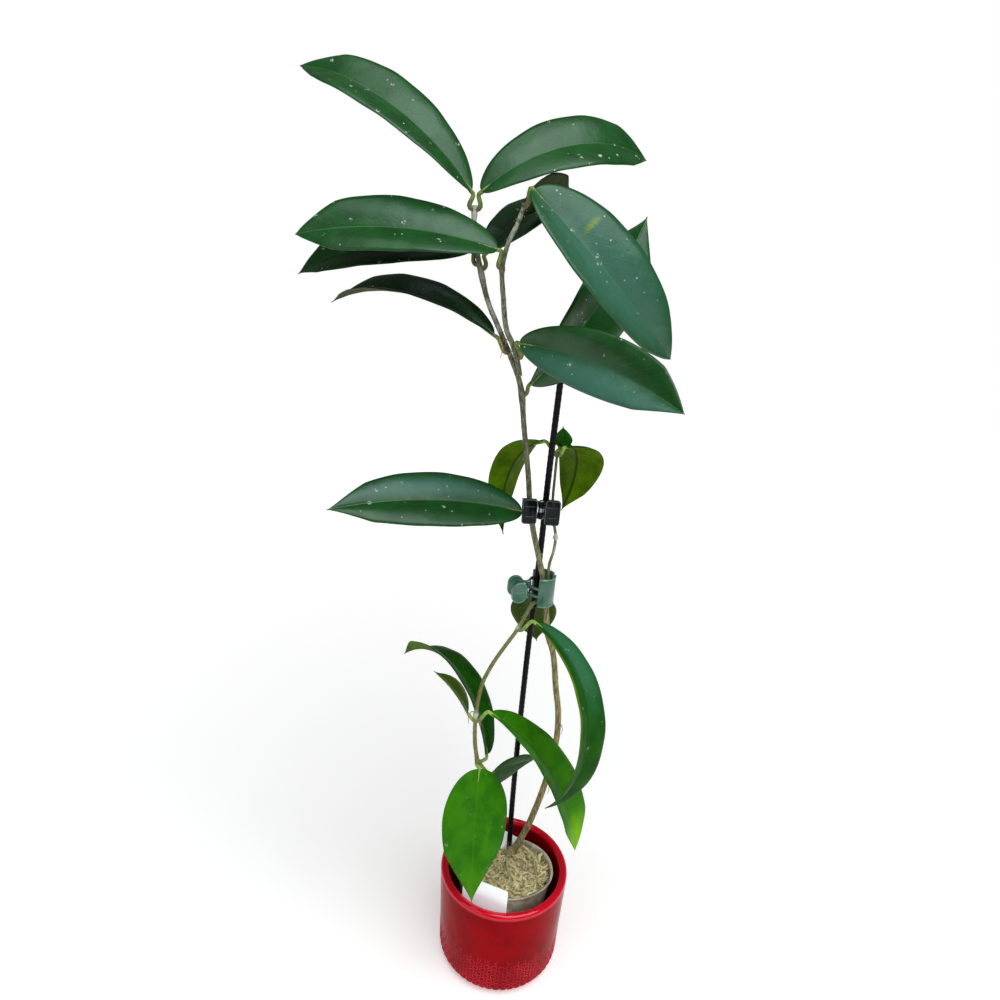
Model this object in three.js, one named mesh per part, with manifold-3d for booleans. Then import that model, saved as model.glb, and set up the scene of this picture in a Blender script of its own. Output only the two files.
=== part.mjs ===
// A potted climbing wax plant (hoya) in a red glazed cache pot, in millimetres, +Z up.
// The origin is the centre of the pot's flat base. The photo is taken from -Y, so +X is its right.
// Every leaf with its stalk is one solid, and so is each stem, pot, tag and clip piece.

import * as THREE from 'three';
import Module from 'manifold-3d';
import { mergeVertices } from 'three/addons/utils/BufferGeometryUtils.js';

const wasm = await Module();
wasm.setup();

// Gap kept between pieces that touch in the real thing.
const GAP = 0.3;
const RAD = Math.PI / 180;

// Cache pot: fired clay with a rounded foot and a rounded lip.
const POT_HEIGHT = 101.6;
const POT_RIM_RADIUS = 60;
const POT_BASE_RADIUS = 57;
const POT_FOOT_ROUND = 13;
const POT_LIP = 7.3;
const POT_INNER_BASE_RADIUS = 50.5;
const POT_INNER_ROUND = 9;
const POT_FLOOR = 6;
const POT_SIDES = 40;

// Nursery pot: thin clear plastic, squeezed a little oval.
const NURSERY_BOTTOM = POT_FLOOR + GAP + 0.1;
const NURSERY_TOP = 96;
const NURSERY_RIM_RADIUS = 46.5;
const NURSERY_BASE_RADIUS = 34;
const NURSERY_WALL = 1;
const NURSERY_LIP = 1.6;
const NURSERY_LIP_DROP = 2.4;
const NURSERY_SQUEEZE = 0.81;
const NURSERY_CENTRE = [1, 1.5];
const NURSERY_SIDES = 40;

// Moss that fills the nursery pot.
const MOSS_TOP = 86;
const MOSS_CROWN = 3;
const MOSS_LUMP = 1.3;
const MOSS_SIDES = 30;
const MOSS_RINGS = 7;
const MOSS_ROOTS = [
  { radius: 1.3, points: [[4, 20, 88], [9, 8, 89], [17, -8, 88], [24, -17, 84.5]] },
  { radius: 1.1, points: [[2, 17, 88], [4, 4, 89], [10, -15, 88], [15, -22, 85]] },
  { radius: 1.2, points: [[20, 30, 86], [27, 22, 88], [33, 11, 88], [36, 2, 86]] },
];

// Black round stake, pushed down through the moss.
const STAKE_RADIUS = 2.65;
const STAKE_POINTS = [
  [5.4, 24.5, 12], [5, 29.5, 86], [3.8, 29.5, 146], [3.5, 29.5, 203], [3.8, 29.5, 258],
  [4.7, 29.5, 333], [6.9, 29.5, 419], [7.3, 29.5, 475], [8.8, 29.5, 541], [10, 29.5, 587],
];
const STAKE_SIDES = 10;

// Plain tags: width, height and thickness, the place of the lower edge's middle, and the turns.
const TAG_THICKNESS = 0.8;
const FRONT_TAG = { width: 43, height: 80, foot: [-17, -41.6, 40], turn: -20.7, lean: 0 };
const REAR_TAG = { width: 13, height: 22, foot: [-4, 33.6, 82], turn: 0, lean: 30 };

// Stems: points along the middle, the radius at the foot and at the tip, and swollen nodes.
const STEM_SIDES = 8;
const MAIN_STEM = {
  points: [
    [4, 20, 77], [7.5, 21.5, 92], [14, 23, 107], [20, 25, 121], [33, 28, 174], [39, 30, 223],
    [38, 31, 252], [33, 31, 280], [27, 30, 316], [20, 29, 336], [17, 28, 357], [14, 28, 377],
    [9.5, 24, 397], [3, 22.5, 420], [-2, 23.5, 438], [-6, 25, 458], [-9, 24, 480],
    [-16, 19, 522], [-22, 13, 557], [-31, 10, 578], [-40, 8, 596], [-50, 8, 616],
    [-56, 8, 635], [-60, 9, 650], [-63, 8, 667], [-63, 6, 679],
  ],
  radii: [3.2, 1.7],
  nodes: [{ at: 0.02, swell: 0.3 }, { at: 0.775, swell: 0.3 }, { at: 0.925, swell: 0.3 }, { at: 1, swell: 0.35 }],
  steps: 60,
};
const FORK_STEM = {
  points: [
    [-23, 11.5, 564], [-26, 5, 577], [-30, 1, 588], [-35, -1, 598], [-39, -5, 621],
    [-41, -7, 640], [-38, -9, 657], [-33, -9, 669], [-29, -9, 682],
  ],
  radii: [2.1, 1.5],
  nodes: [{ at: 0.64, swell: 0.3 }, { at: 1, swell: 0.3 }],
  steps: 24,
};
const THIN_STEM = {
  points: [
    [16.5, 23, 379], [15, 22.3, 394], [15, 23, 406], [17.5, 25, 417], [18, 28, 430],
    [14, 32, 446], [13, 34, 462], [13, 35.5, 480], [13, 36, 497],
  ],
  radii: [1.3, 1.1],
  nodes: [{ at: 0.42, swell: 0.6 }, { at: 1, swell: 0.3 }],
  steps: 26,
};
const SHOOT = {
  points: [
    [10.5, 22, 372], [4, 21, 368], [-1, 17.5, 359], [-8, 12, 346], [-15, 6, 337],
    [-25, -2, 323], [-33, -9, 307], [-36, -14, 292], [-37, -18, 276], [-36, -21, 255],
    [-33, -23, 238],
  ],
  radii: [1.6, 1.8],
  nodes: [{ at: 0.2, swell: 0.35 }, { at: 0.73, swell: 0.4 }, { at: 1, swell: 0.2 }],
  steps: 30,
};

// Leaves. base is where the blade starts and stalk is the point beside the stem that its stalk
// leaves. heading and rise give the blade's first direction, and roll turns it about its midrib.
// Along the blade it then sweeps to its right, droops to its underside and twists, in degrees.
// fold lifts both halves from the midrib. widest is the place of the widest point along the
// blade, and blunt is how full the outline is.
const BLADE_THICKNESS = 1.2;
const BLADE_STATIONS = 11;
const BLADE_HALF_STRIPS = 2;
const TIP_HALF_WIDTH = 0.6;
const STALK_RADIUS = 1.5;
const STALK_SIDES = 5;
const LEAVES = [
  { base: [-66, 5, 688], stalk: [-67.3, 5, 678], heading: 194, rise: 51, roll: 42,
    sweep: 13, droop: 65, twist: -21, length: 163, width: 47, fold: 14, widest: 0.48, blunt: 0.60 },
  { base: [-59, 5, 688], stalk: [-58.8, 5, 678], heading: 6, rise: 44, roll: -44,
    sweep: 15, droop: 71, twist: 23, length: 149, width: 46, fold: 9, widest: 0.49, blunt: 0.55 },
  { base: [-45, -12, 652], stalk: [-44, -11, 641], heading: 182, rise: 15, roll: 33,
    sweep: -16, droop: 26, twist: -23, length: 139, width: 50, fold: 11, widest: 0.49, blunt: 0.47 },
  { base: [-65, 12, 649], stalk: [-62, 10.4, 641], heading: 184, rise: 8, roll: 46,
    sweep: -5, droop: 50, twist: 0, length: 141, width: 48, fold: 16, widest: 0.45, blunt: 0.61 },
  { base: [-44, 5, 593], stalk: [-35.5, 5.5, 581], heading: 174, rise: 33, roll: 17,
    sweep: 16, droop: 66, twist: -5, length: 153, width: 40, fold: 22, widest: 0.51, blunt: 0.54 },
  { base: [-54, 13, 648], stalk: [-52.6, 11, 640], heading: 49, rise: 36, roll: -14,
    sweep: -14, droop: 39, twist: 1, length: 127, width: 40, fold: 15, widest: 0.47, blunt: 0.59 },
  { base: [-24, -14, 691], stalk: [-27, -12.8, 682], heading: -13, rise: -39, roll: -39,
    sweep: -16, droop: 33, twist: 10, length: 157, width: 61, fold: 20, widest: 0.43, blunt: 0.53 },
  { base: [-26, -5, 690], stalk: [-27, -5.4, 682], heading: 56, rise: 13, roll: 26,
    sweep: -36, droop: 0, twist: 32, length: 106, width: 44, fold: 9, widest: 0.50, blunt: 0.62 },
  { base: [-14.5, 13.5, 557], stalk: [-16.2, 13.6, 550], heading: 20, rise: 44, roll: -121,
    sweep: -12, droop: 23, twist: -44, length: 160, width: 59, fold: 17, widest: 0.44, blunt: 0.65 },
  { base: [-25, -6, 590], stalk: [-22.2, 2, 579], heading: -36, rise: 2, roll: -89,
    sweep: 24, droop: -15, twist: -38, length: 146, width: 44, fold: 20, widest: 0.51, blunt: 0.59 },
  { base: [-15.4, 19, 452], stalk: [-6.9, 22.8, 442.3], heading: 191, rise: 13, roll: 27,
    sweep: -25, droop: 6, twist: -18, length: 153, width: 51, fold: 6, widest: 0.42, blunt: 0.51 },
  { base: [1, 37, 507], stalk: [10.6, 37, 498], heading: 129, rise: -17, roll: -5,
    sweep: 5, droop: 111, twist: 14, length: 112, width: 35, fold: 20, widest: 0.39, blunt: 0.65 },
  { base: [18.2, 33.6, 504.6], stalk: [15.8, 35.2, 498], heading: 62, rise: 0, roll: -9,
    sweep: -2, droop: 121, twist: 4, length: 100, width: 47, fold: 15, widest: 0.41, blunt: 0.70 },
  { base: [11.6, 40.8, 507.2], stalk: [12.2, 38.8, 499.6], heading: 45, rise: 46, roll: 0,
    sweep: 0, droop: 0, twist: 0, length: 17, width: 14, fold: 12, widest: 0.32, blunt: 0.60 },
  { base: [9, 44, 367], stalk: [15.8, 33.4, 358], heading: 102, rise: -52, roll: 167,
    sweep: -26, droop: -30, twist: 5, length: 76, width: 46, fold: 6, widest: 0.39, blunt: 0.64 },
  { base: [8, 6, 358], stalk: [-3.6, 11.4, 347.5], heading: -40, rise: -7, roll: 1,
    sweep: 30, droop: 121, twist: -2, length: 185, width: 30, fold: 18, widest: 0.53, blunt: 0.47 },
  { base: [-24, -20, 284], stalk: [-33.8, -18.5, 275], heading: 1, rise: -30, roll: 5,
    sweep: 23, droop: 50, twist: 38, length: 154, width: 48, fold: 16, widest: 0.50, blunt: 0.54 },
  { base: [-25, -11, 234], stalk: [-30.4, -18.6, 232], heading: 101, rise: 59, roll: -57,
    sweep: 34, droop: 105, twist: -17, length: 176, width: 42, fold: 16, widest: 0.55, blunt: 0.40 },
  { base: [-44, -16, 280], stalk: [-40.2, -17, 275], heading: 170, rise: 63, roll: -11,
    sweep: 9, droop: 29, twist: 9, length: 47, width: 29, fold: 19, widest: 0.40, blunt: 0.67 },
  { base: [-30, -28, 230], stalk: [-33, -24.2, 232.6], heading: -94, rise: -62, roll: 34,
    sweep: -10, droop: 7, twist: 13, length: 109, width: 60, fold: 2, widest: 0.36, blunt: 0.60 },
  { base: [-19, -17, 220], stalk: [-29, -21.6, 231], heading: 55, rise: -18, roll: -97,
    sweep: 1, droop: -8, twist: 36, length: 71, width: 36, fold: 11, widest: 0.41, blunt: 0.63 },
];

// Claw clips. The pin stands on the local z axis, the claws reach towards local +y round the
// stems and the stake, and the finger tabs spread towards local -y.
const CLIP_PIN_RADIUS = 1.1;
const CLIP_KNUCKLE_RADIUS = 2.6;
const CLIP_KNUCKLE = 2;
const CLIP_SPRING_RADIUS = 2.4;
const CLIP_SPRING_LENGTH = 4.4;
const CLIP_WALL = 1.6;
const CLIP_ARC_SIDES = 7;
const BLACK_CLIP = {
  name: 'black_clip', pin: [2.8, 12.3, 457.5], heading: 90, ring: 13.4, height: 13,
  plateFrom: -42, plateTo: 80, tab: { reach: [11.3, -5.6], turn: 0, width: 7.6, height: 21, round: 2.6 },
};
const GREEN_CLIP = {
  name: 'green_clip', pin: [-1, 23.6, 381], heading: 15, ring: 9.8, height: 25,
  plateFrom: -30, plateTo: 80, tab: { reach: [6.8, -9.4], turn: -86, width: 13.6, height: 19, round: 6.6 },
};

// Finish of each kind of piece.
const FINISH = {
  glaze: { color: 0x9a0814, roughness: 0.22 },
  clearPlastic: { color: 0x8d7d78, roughness: 0.3 },
  moss: { color: 0x93895f, roughness: 0.95 },
  tag: { color: 0xf0f6fa, roughness: 0.45 },
  stake: { color: 0x0b0b0d, roughness: 0.4 },
  wood: { color: 0x8d8468, roughness: 0.85 },
  green: { color: 0x6c6a35, roughness: 0.7 },
  upperLeaf: { color: 0x2c5a36, roughness: 0.35 },
  lowerLeaf: { color: 0x2f6e16, roughness: 0.35 },
  oliveLeaf: { color: 0x4a6a10, roughness: 0.5 },
  blackClip: { color: 0x0d1517, roughness: 0.2 },
  greenClip: { color: 0x4f7d67, roughness: 0.35 },
  steel: { color: 0xb8bcc0, roughness: 0.3, metalness: 1 },
};

const group = new THREE.Group();

// Adds one named mesh.
function addPiece(name, geometry, finish) {
  const mesh = new THREE.Mesh(geometry, new THREE.MeshStandardMaterial(FINISH[finish]));
  mesh.name = name;
  group.add(mesh);
}

// Turns a closed geometry into a solid for joins and cuts.
function toSolid(geometry) {
  const bare = geometry.clone();
  bare.deleteAttribute('normal');
  bare.deleteAttribute('uv');
  const merged = mergeVertices(bare, 1e-4);
  return new wasm.Manifold(new wasm.Mesh({
    numProp: 3,
    vertProperties: new Float32Array(merged.attributes.position.array),
    triVerts: new Uint32Array(merged.index.array),
  }));
}

// Turns a solid back into a geometry.
function toGeometry(solid) {
  const mesh = solid.getMesh();
  const geometry = new THREE.BufferGeometry();
  geometry.setAttribute('position', new THREE.BufferAttribute(new Float32Array(mesh.vertProperties), 3));
  geometry.setIndex(new THREE.BufferAttribute(new Uint32Array(mesh.triVerts), 1));
  geometry.computeVertexNormals();
  return geometry;
}

// Joins several geometries into one.
function joined(geometries) {
  return toGeometry(geometries.map(toSolid).reduce((whole, part) => whole.add(part)));
}

// Cuts the second list of geometries out of the first.
function cut(geometry, cutters) {
  return toGeometry(cutters.map(toSolid).reduce((whole, part) => whole.subtract(part), toSolid(geometry)));
}

// A profile of [radius, height] points turned round the vertical axis.
function turned(profile, sides) {
  const points = profile.map(([radius, height]) => new THREE.Vector2(radius, height));
  const geometry = new THREE.LatheGeometry(points, sides);
  geometry.rotateX(Math.PI / 2);
  return geometry;
}

// Points on a quarter or part circle in a profile.
function arc(centreRadius, centreHeight, radius, from, to, count) {
  const points = [];
  for (let i = 0; i <= count; i += 1) {
    const angle = (from + ((to - from) * i) / count) * RAD;
    points.push([centreRadius + radius * Math.cos(angle), centreHeight + radius * Math.sin(angle)]);
  }
  return points;
}

// A round section swept along a smooth line through the points. radiusAt gives the radius at a
// place from 0 to 1 along it.
function tube(points, radiusAt, sides, steps) {
  const path = new THREE.CatmullRomCurve3(points.map((p) => new THREE.Vector3(...p)), false, 'centripetal');
  const section = new THREE.Shape();
  for (let i = 0; i < sides; i += 1) {
    const angle = (2 * Math.PI * i) / sides;
    const corner = [Math.cos(angle), Math.sin(angle)];
    if (i === 0) {
      section.moveTo(...corner);
    } else {
      section.lineTo(...corner);
    }
  }
  section.closePath();
  const geometry = new THREE.ExtrudeGeometry(section, { steps, extrudePath: path, bevelEnabled: false });
  const stations = path.getSpacedPoints(steps);
  const position = geometry.attributes.position;
  const vertex = new THREE.Vector3();
  for (let i = 0; i < position.count; i += 1) {
    vertex.fromBufferAttribute(position, i);
    let nearest = 0;
    for (let s = 1; s <= steps; s += 1) {
      if (stations[s].distanceTo(vertex) < stations[nearest].distanceTo(vertex)) {
        nearest = s;
      }
    }
    vertex.sub(stations[nearest]).multiplyScalar(radiusAt(nearest / steps)).add(stations[nearest]);
    position.setXYZ(i, vertex.x, vertex.y, vertex.z);
  }
  return geometry;
}

// A stem that tapers from its foot to its tip and swells at its nodes.
function stemTube(stem) {
  const [foot, tip] = stem.radii;
  const nodeLength = 0.012;
  const radiusAt = (along) => {
    const swell = stem.nodes.reduce(
      (sum, node) => sum + node.swell * Math.exp(-(((along - node.at) / nodeLength) ** 2)),
      0,
    );
    return (foot + (tip - foot) * along) * (1 + swell);
  };
  return tube(stem.points, radiusAt, STEM_SIDES, stem.steps);
}

// Half the blade's width at a place along it, as a share of the greatest half width.
function outlineAt(leaf, along) {
  const tail = (leaf.blunt * (1 - leaf.widest)) / leaf.widest;
  return (along / leaf.widest) ** leaf.blunt * ((1 - along) / (1 - leaf.widest)) ** tail;
}

// The blade's midrib as stations, each with its point, direction, right-hand side and upper side.
function midrib(leaf, count) {
  const heading = leaf.heading * RAD;
  const rise = leaf.rise * RAD;
  const ahead = new THREE.Vector3(
    Math.cos(heading) * Math.cos(rise),
    Math.sin(heading) * Math.cos(rise),
    Math.sin(rise),
  );
  const side = new THREE.Vector3().crossVectors(ahead, new THREE.Vector3(0, 0, 1)).normalize();
  side.applyAxisAngle(ahead, -leaf.roll * RAD);
  const upper = new THREE.Vector3().crossVectors(side, ahead);
  const point = new THREE.Vector3(...leaf.base);
  const stations = [{ point: point.clone(), ahead: ahead.clone(), side: side.clone(), upper: upper.clone() }];
  const droop = (-leaf.droop * RAD) / count;
  const sweep = (-leaf.sweep * RAD) / count;
  const twist = (leaf.twist * RAD) / count;
  for (let i = 0; i < count; i += 1) {
    const middle = ahead.clone().applyAxisAngle(side, droop / 2).applyAxisAngle(upper, sweep / 2);
    point.addScaledVector(middle, leaf.length / count);
    ahead.applyAxisAngle(side, droop);
    upper.applyAxisAngle(side, droop);
    ahead.applyAxisAngle(upper, sweep);
    side.applyAxisAngle(upper, sweep);
    side.applyAxisAngle(ahead, twist);
    upper.crossVectors(side, ahead);
    stations.push({ point: point.clone(), ahead: ahead.clone(), side: side.clone(), upper: upper.clone() });
  }
  return stations;
}

// The blade as a thin closed sheet with the same triangles on both faces.
function blade(leaf) {
  const stations = midrib(leaf, BLADE_STATIONS);
  const across = 2 * BLADE_HALF_STRIPS + 1;
  const positions = [];
  const fold = leaf.fold * RAD;
  for (const face of [0.5, -0.5]) {
    stations.forEach(({ point, side, upper }, row) => {
      const share = row === 0 || row === BLADE_STATIONS ? 0 : outlineAt(leaf, row / BLADE_STATIONS);
      const half = Math.max((leaf.width / 2) * share, TIP_HALF_WIDTH);
      for (let j = 0; j < across; j += 1) {
        const t = j / BLADE_HALF_STRIPS - 1;
        const vertex = point.clone();
        vertex.addScaledVector(side, half * t * Math.cos(fold));
        vertex.addScaledVector(upper, half * Math.abs(t) * Math.sin(fold) + face * BLADE_THICKNESS);
        positions.push(vertex.x, vertex.y, vertex.z);
      }
    });
  }
  const rows = BLADE_STATIONS + 1;
  const under = rows * across;
  const index = [];
  const quad = (a, b, c, d) => index.push(a, b, c, a, c, d);
  for (let i = 0; i < rows - 1; i += 1) {
    for (let j = 0; j < across - 1; j += 1) {
      const a = i * across + j;
      const b = a + 1;
      const c = a + across + 1;
      const d = a + across;
      index.push(a, b, c, a, c, d);
      index.push(under + a, under + c, under + b, under + a, under + d, under + c);
    }
    const left = i * across;
    const right = left + across - 1;
    quad(left, left + across, under + left + across, under + left);
    quad(right, under + right, under + right + across, right + across);
  }
  for (let j = 0; j < across - 1; j += 1) {
    quad(j, under + j, under + j + 1, j + 1);
    const end = (rows - 1) * across + j;
    quad(end, end + 1, under + end + 1, under + end);
  }
  const geometry = new THREE.BufferGeometry();
  geometry.setAttribute('position', new THREE.Float32BufferAttribute(positions, 3));
  geometry.setIndex(index);
  return geometry;
}

// The stalk, bent from beside the stem into the blade's midrib, where its end is sunk.
function stalk(leaf) {
  const stations = midrib(leaf, BLADE_STATIONS);
  const base = stations[0].point;
  const start = new THREE.Vector3(...leaf.stalk);
  const into = stations[1].point.clone().addScaledVector(stations[1].upper, -0.4);
  const before = base.clone().addScaledVector(stations[0].ahead, -0.25 * start.distanceTo(base));
  const points = [start, before, base.clone(), into].map((p) => p.toArray());
  return tube(points, (along) => STALK_RADIUS * (1 - 0.55 * Math.max(0, along - 0.5) * 2), STALK_SIDES, 5);
}

// A flat tag standing on the middle of its lower edge, turned about the vertical axis.
function tag(spec) {
  const geometry = new THREE.BoxGeometry(spec.width, TAG_THICKNESS, spec.height);
  geometry.translate(0, 0, spec.height / 2);
  geometry.rotateY(spec.lean * RAD);
  geometry.rotateZ(spec.turn * RAD);
  geometry.translate(...spec.foot);
  return geometry;
}

// A closed outline pushed up by a height, centred on z.
function pushed(shape, height, middle, curveSegments) {
  const geometry = new THREE.ExtrudeGeometry(shape, { depth: height, bevelEnabled: false, curveSegments });
  geometry.translate(0, 0, middle - height / 2);
  return geometry;
}

// Part of a ring round a centre on the local y axis, between two angles.
function ringPart(inner, outer, centreY, from, to) {
  const shape = new THREE.Shape();
  shape.absarc(0, centreY, outer, from * RAD, to * RAD, false);
  shape.absarc(0, centreY, inner, to * RAD, from * RAD, true);
  shape.closePath();
  return shape;
}

// A bar between two points in the local plane.
function bar(from, to, thickness, height, middle) {
  const start = new THREE.Vector2(...from);
  const end = new THREE.Vector2(...to);
  const length = start.distanceTo(end);
  const geometry = new THREE.BoxGeometry(length, thickness, height);
  geometry.translate(length / 2, 0, 0);
  geometry.rotateZ(end.clone().sub(start).angle());
  geometry.translate(start.x, start.y, middle);
  return geometry;
}

// A finger tab: a plate with round corners that stands on edge.
function tabPlate(tabSpec) {
  const { width, height, round } = tabSpec;
  const shape = new THREE.Shape();
  const x = width / 2 - round;
  const y = height / 2 - round;
  shape.absarc(x, y, round, 0, 90 * RAD, false);
  shape.absarc(-x, y, round, 90 * RAD, 180 * RAD, false);
  shape.absarc(-x, -y, round, 180 * RAD, 270 * RAD, false);
  shape.absarc(x, -y, round, 270 * RAD, 360 * RAD, false);
  shape.closePath();
  const geometry = pushed(shape, CLIP_WALL, 0, 3);
  geometry.rotateX(Math.PI / 2);
  geometry.rotateZ(tabSpec.turn * RAD);
  geometry.translate(tabSpec.reach[0], tabSpec.reach[1], 0);
  return geometry;
}

// One jaw: its knuckles, arms, claw plate and finger tab. mirror puts it on the other side.
function jaw(clip, knuckleHeights, mirror) {
  const outer = clip.ring + CLIP_WALL;
  const centreY = outer + 0.6;
  const ear = new THREE.Shape();
  ear.absarc(0, 0, CLIP_KNUCKLE_RADIUS, 0, 2 * Math.PI, false);
  const parts = [pushed(ringPart(clip.ring, outer, centreY, clip.plateFrom, clip.plateTo),
    clip.height, 0, CLIP_ARC_SIDES)];
  parts.push(tabPlate(clip.tab));
  for (const middle of knuckleHeights) {
    parts.push(pushed(ear, CLIP_KNUCKLE, middle, 6));
    parts.push(pushed(ringPart(clip.ring, outer, centreY, -74, clip.plateFrom + 5), CLIP_KNUCKLE, middle, 3));
    parts.push(bar([0.6, 0.6], [4.4, 1.9], CLIP_WALL, CLIP_KNUCKLE, middle));
    parts.push(bar([0.8, -0.9], clip.tab.reach, CLIP_WALL, CLIP_KNUCKLE, middle));
  }
  const hole = new THREE.Shape();
  hole.absarc(0, 0, CLIP_PIN_RADIUS + GAP + 0.1, 0, 2 * Math.PI, false);
  const whole = cut(joined(parts), [pushed(hole, clip.height + 20, 0, 5)]);
  if (mirror) {
    return toGeometry(toSolid(whole).mirror([1, 0, 0]));
  }
  return whole;
}

// Puts a clip piece at its place on the stake.
function placed(geometry, clip) {
  geometry.rotateZ((clip.heading - 90) * RAD);
  geometry.translate(...clip.pin);
  return geometry;
}

// A claw clip: two jaws on one pin, with a coil spring round its middle.
function addClip(clip, finish) {
  const inner = CLIP_SPRING_LENGTH / 2 + GAP + CLIP_KNUCKLE / 2;
  const outer = inner + CLIP_KNUCKLE + GAP;
  addPiece(`${clip.name}_moving_jaw`, placed(jaw(clip, [-inner, inner], false), clip), finish);
  addPiece(`${clip.name}_fixed_jaw`, placed(jaw(clip, [-outer, outer], true), clip), finish);
  const head = outer + CLIP_KNUCKLE / 2 + GAP;
  const pinProfile = [
    [0, -head - 1], [CLIP_PIN_RADIUS + 0.8, -head - 1], [CLIP_PIN_RADIUS + 0.8, -head], [CLIP_PIN_RADIUS, -head],
    [CLIP_PIN_RADIUS, head], [CLIP_PIN_RADIUS + 0.8, head], [CLIP_PIN_RADIUS + 0.8, head + 1], [0, head + 1],
  ];
  addPiece(`${clip.name}_pin`, placed(turned(pinProfile, 12), clip), finish);
  const half = CLIP_SPRING_LENGTH / 2;
  const coil = [
    [CLIP_PIN_RADIUS + GAP, -half], [CLIP_SPRING_RADIUS, -half], [CLIP_SPRING_RADIUS, half],
    [CLIP_PIN_RADIUS + GAP, half], [CLIP_PIN_RADIUS + GAP, -half],
  ];
  addPiece(`${clip.name}_spring`, placed(turned(coil, 14), clip), 'steel');
}

// The cache pot's outline, from the middle of its underside up the wall and down inside.
function cachePot() {
  const inner = POT_RIM_RADIUS - POT_LIP;
  const lipRadius = POT_LIP / 2;
  return turned([
    [0, 0],
    ...arc(POT_BASE_RADIUS - POT_FOOT_ROUND, POT_FOOT_ROUND, POT_FOOT_ROUND, -90, 0, 6),
    ...arc(POT_RIM_RADIUS - lipRadius, POT_HEIGHT - lipRadius, lipRadius, 0, 180, 6),
    [inner, POT_HEIGHT - POT_LIP],
    ...arc(POT_INNER_BASE_RADIUS - POT_INNER_ROUND, POT_FLOOR + POT_INNER_ROUND, POT_INNER_ROUND, 0, -90, 4),
    [0, POT_FLOOR],
  ], POT_SIDES);
}

// The nursery pot's wall radius at a height.
function nurseryRadius(height) {
  const share = (height - NURSERY_BOTTOM) / (NURSERY_TOP - NURSERY_BOTTOM);
  return NURSERY_BASE_RADIUS + (NURSERY_RIM_RADIUS - NURSERY_LIP - NURSERY_BASE_RADIUS) * share;
}

// Squeezes a turned shape oval and moves it to the nursery pot's middle.
function squeezed(geometry) {
  geometry.scale(1, NURSERY_SQUEEZE, 1);
  geometry.translate(NURSERY_CENTRE[0], NURSERY_CENTRE[1], 0);
  return geometry;
}

// The nursery pot, open at the top, with a rolled lip.
function nurseryPot() {
  const lipFoot = NURSERY_TOP - NURSERY_LIP_DROP;
  return squeezed(turned([
    [0, NURSERY_BOTTOM],
    [nurseryRadius(NURSERY_BOTTOM), NURSERY_BOTTOM],
    [nurseryRadius(lipFoot), lipFoot],
    [NURSERY_RIM_RADIUS, lipFoot],
    [NURSERY_RIM_RADIUS, NURSERY_TOP],
    [nurseryRadius(NURSERY_TOP) - NURSERY_WALL, NURSERY_TOP],
    [nurseryRadius(NURSERY_BOTTOM) - NURSERY_WALL, NURSERY_BOTTOM + NURSERY_WALL],
    [0, NURSERY_BOTTOM + NURSERY_WALL],
  ], NURSERY_SIDES));
}

// The moss's uneven top.
function mossLumps(x, y) {
  return MOSS_LUMP * (Math.sin(0.31 * x + 0.7) * Math.cos(0.27 * y - 0.4) + 0.6 * Math.sin(0.52 * y + 0.38 * x));
}

// The moss, with roots lying on it and plain holes for the stake, the stem and the rear tag.
function moss() {
  const bottom = NURSERY_BOTTOM + NURSERY_WALL + GAP;
  const clearance = NURSERY_WALL + 2 * GAP;
  const profile = [[0, bottom], [nurseryRadius(bottom) - clearance, bottom]];
  for (let ring = 0; ring < MOSS_RINGS; ring += 1) {
    const share = ring / MOSS_RINGS;
    const radius = (nurseryRadius(MOSS_TOP) - clearance) * (1 - share);
    profile.push([radius, MOSS_TOP + MOSS_CROWN * Math.sin(share * 90 * RAD)]);
  }
  profile.push([0, MOSS_TOP + MOSS_CROWN]);
  const body = squeezed(turned(profile, MOSS_SIDES));
  const position = body.attributes.position;
  for (let i = 0; i < position.count; i += 1) {
    const inTop = position.getZ(i) > MOSS_TOP + 0.1;
    if (inTop) {
      position.setZ(i, position.getZ(i) + mossLumps(position.getX(i), position.getY(i)));
    }
  }
  const roots = MOSS_ROOTS.map((root) => tube(root.points, () => root.radius, 6, 9));
  const stakeHole = tube(STAKE_POINTS.slice(0, 3), () => STAKE_RADIUS + 1.5 * GAP, STAKE_SIDES, 8);
  stakeHole.translate(0, 0, -GAP);
  const stemHole = tube([[3.3, 19.7, 74], [4, 20, 77], [7.5, 21.5, 92], [14, 23, 107]], () => 4.7, STEM_SIDES, 6);
  const slot = new THREE.BoxGeometry(2 * REAR_TAG.width, 8, 40);
  slot.translate(REAR_TAG.foot[0] + 1.5, REAR_TAG.foot[1] + 4 - TAG_THICKNESS / 2 - GAP, REAR_TAG.foot[2] + 14);
  return cut(joined([body, ...roots]), [stakeHole, stemHole, slot]);
}

addPiece('cache_pot', cachePot(), 'glaze');
addPiece('nursery_pot', nurseryPot(), 'clearPlastic');
addPiece('moss', moss(), 'moss');
addPiece('front_tag', tag(FRONT_TAG), 'tag');
addPiece('rear_tag', tag(REAR_TAG), 'tag');
addPiece('stake', tube(STAKE_POINTS, () => STAKE_RADIUS, STAKE_SIDES, 24), 'stake');
addPiece('main_stem', joined([stemTube(MAIN_STEM), stemTube(FORK_STEM)]), 'wood');
addPiece('thin_stem', stemTube(THIN_STEM), 'green');
addPiece('hanging_shoot', stemTube(SHOOT), 'green');
addClip(BLACK_CLIP, 'blackClip');
addClip(GREEN_CLIP, 'greenClip');

LEAVES.forEach((leaf, i) => {
  const number = String(i + 1).padStart(2, '0');
  const finish = i < 11 ? 'upperLeaf' : 'lowerLeaf';
  addPiece(`leaf_${number}`, joined([blade(leaf), stalk(leaf)]), finish);
});

export default group;
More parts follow.
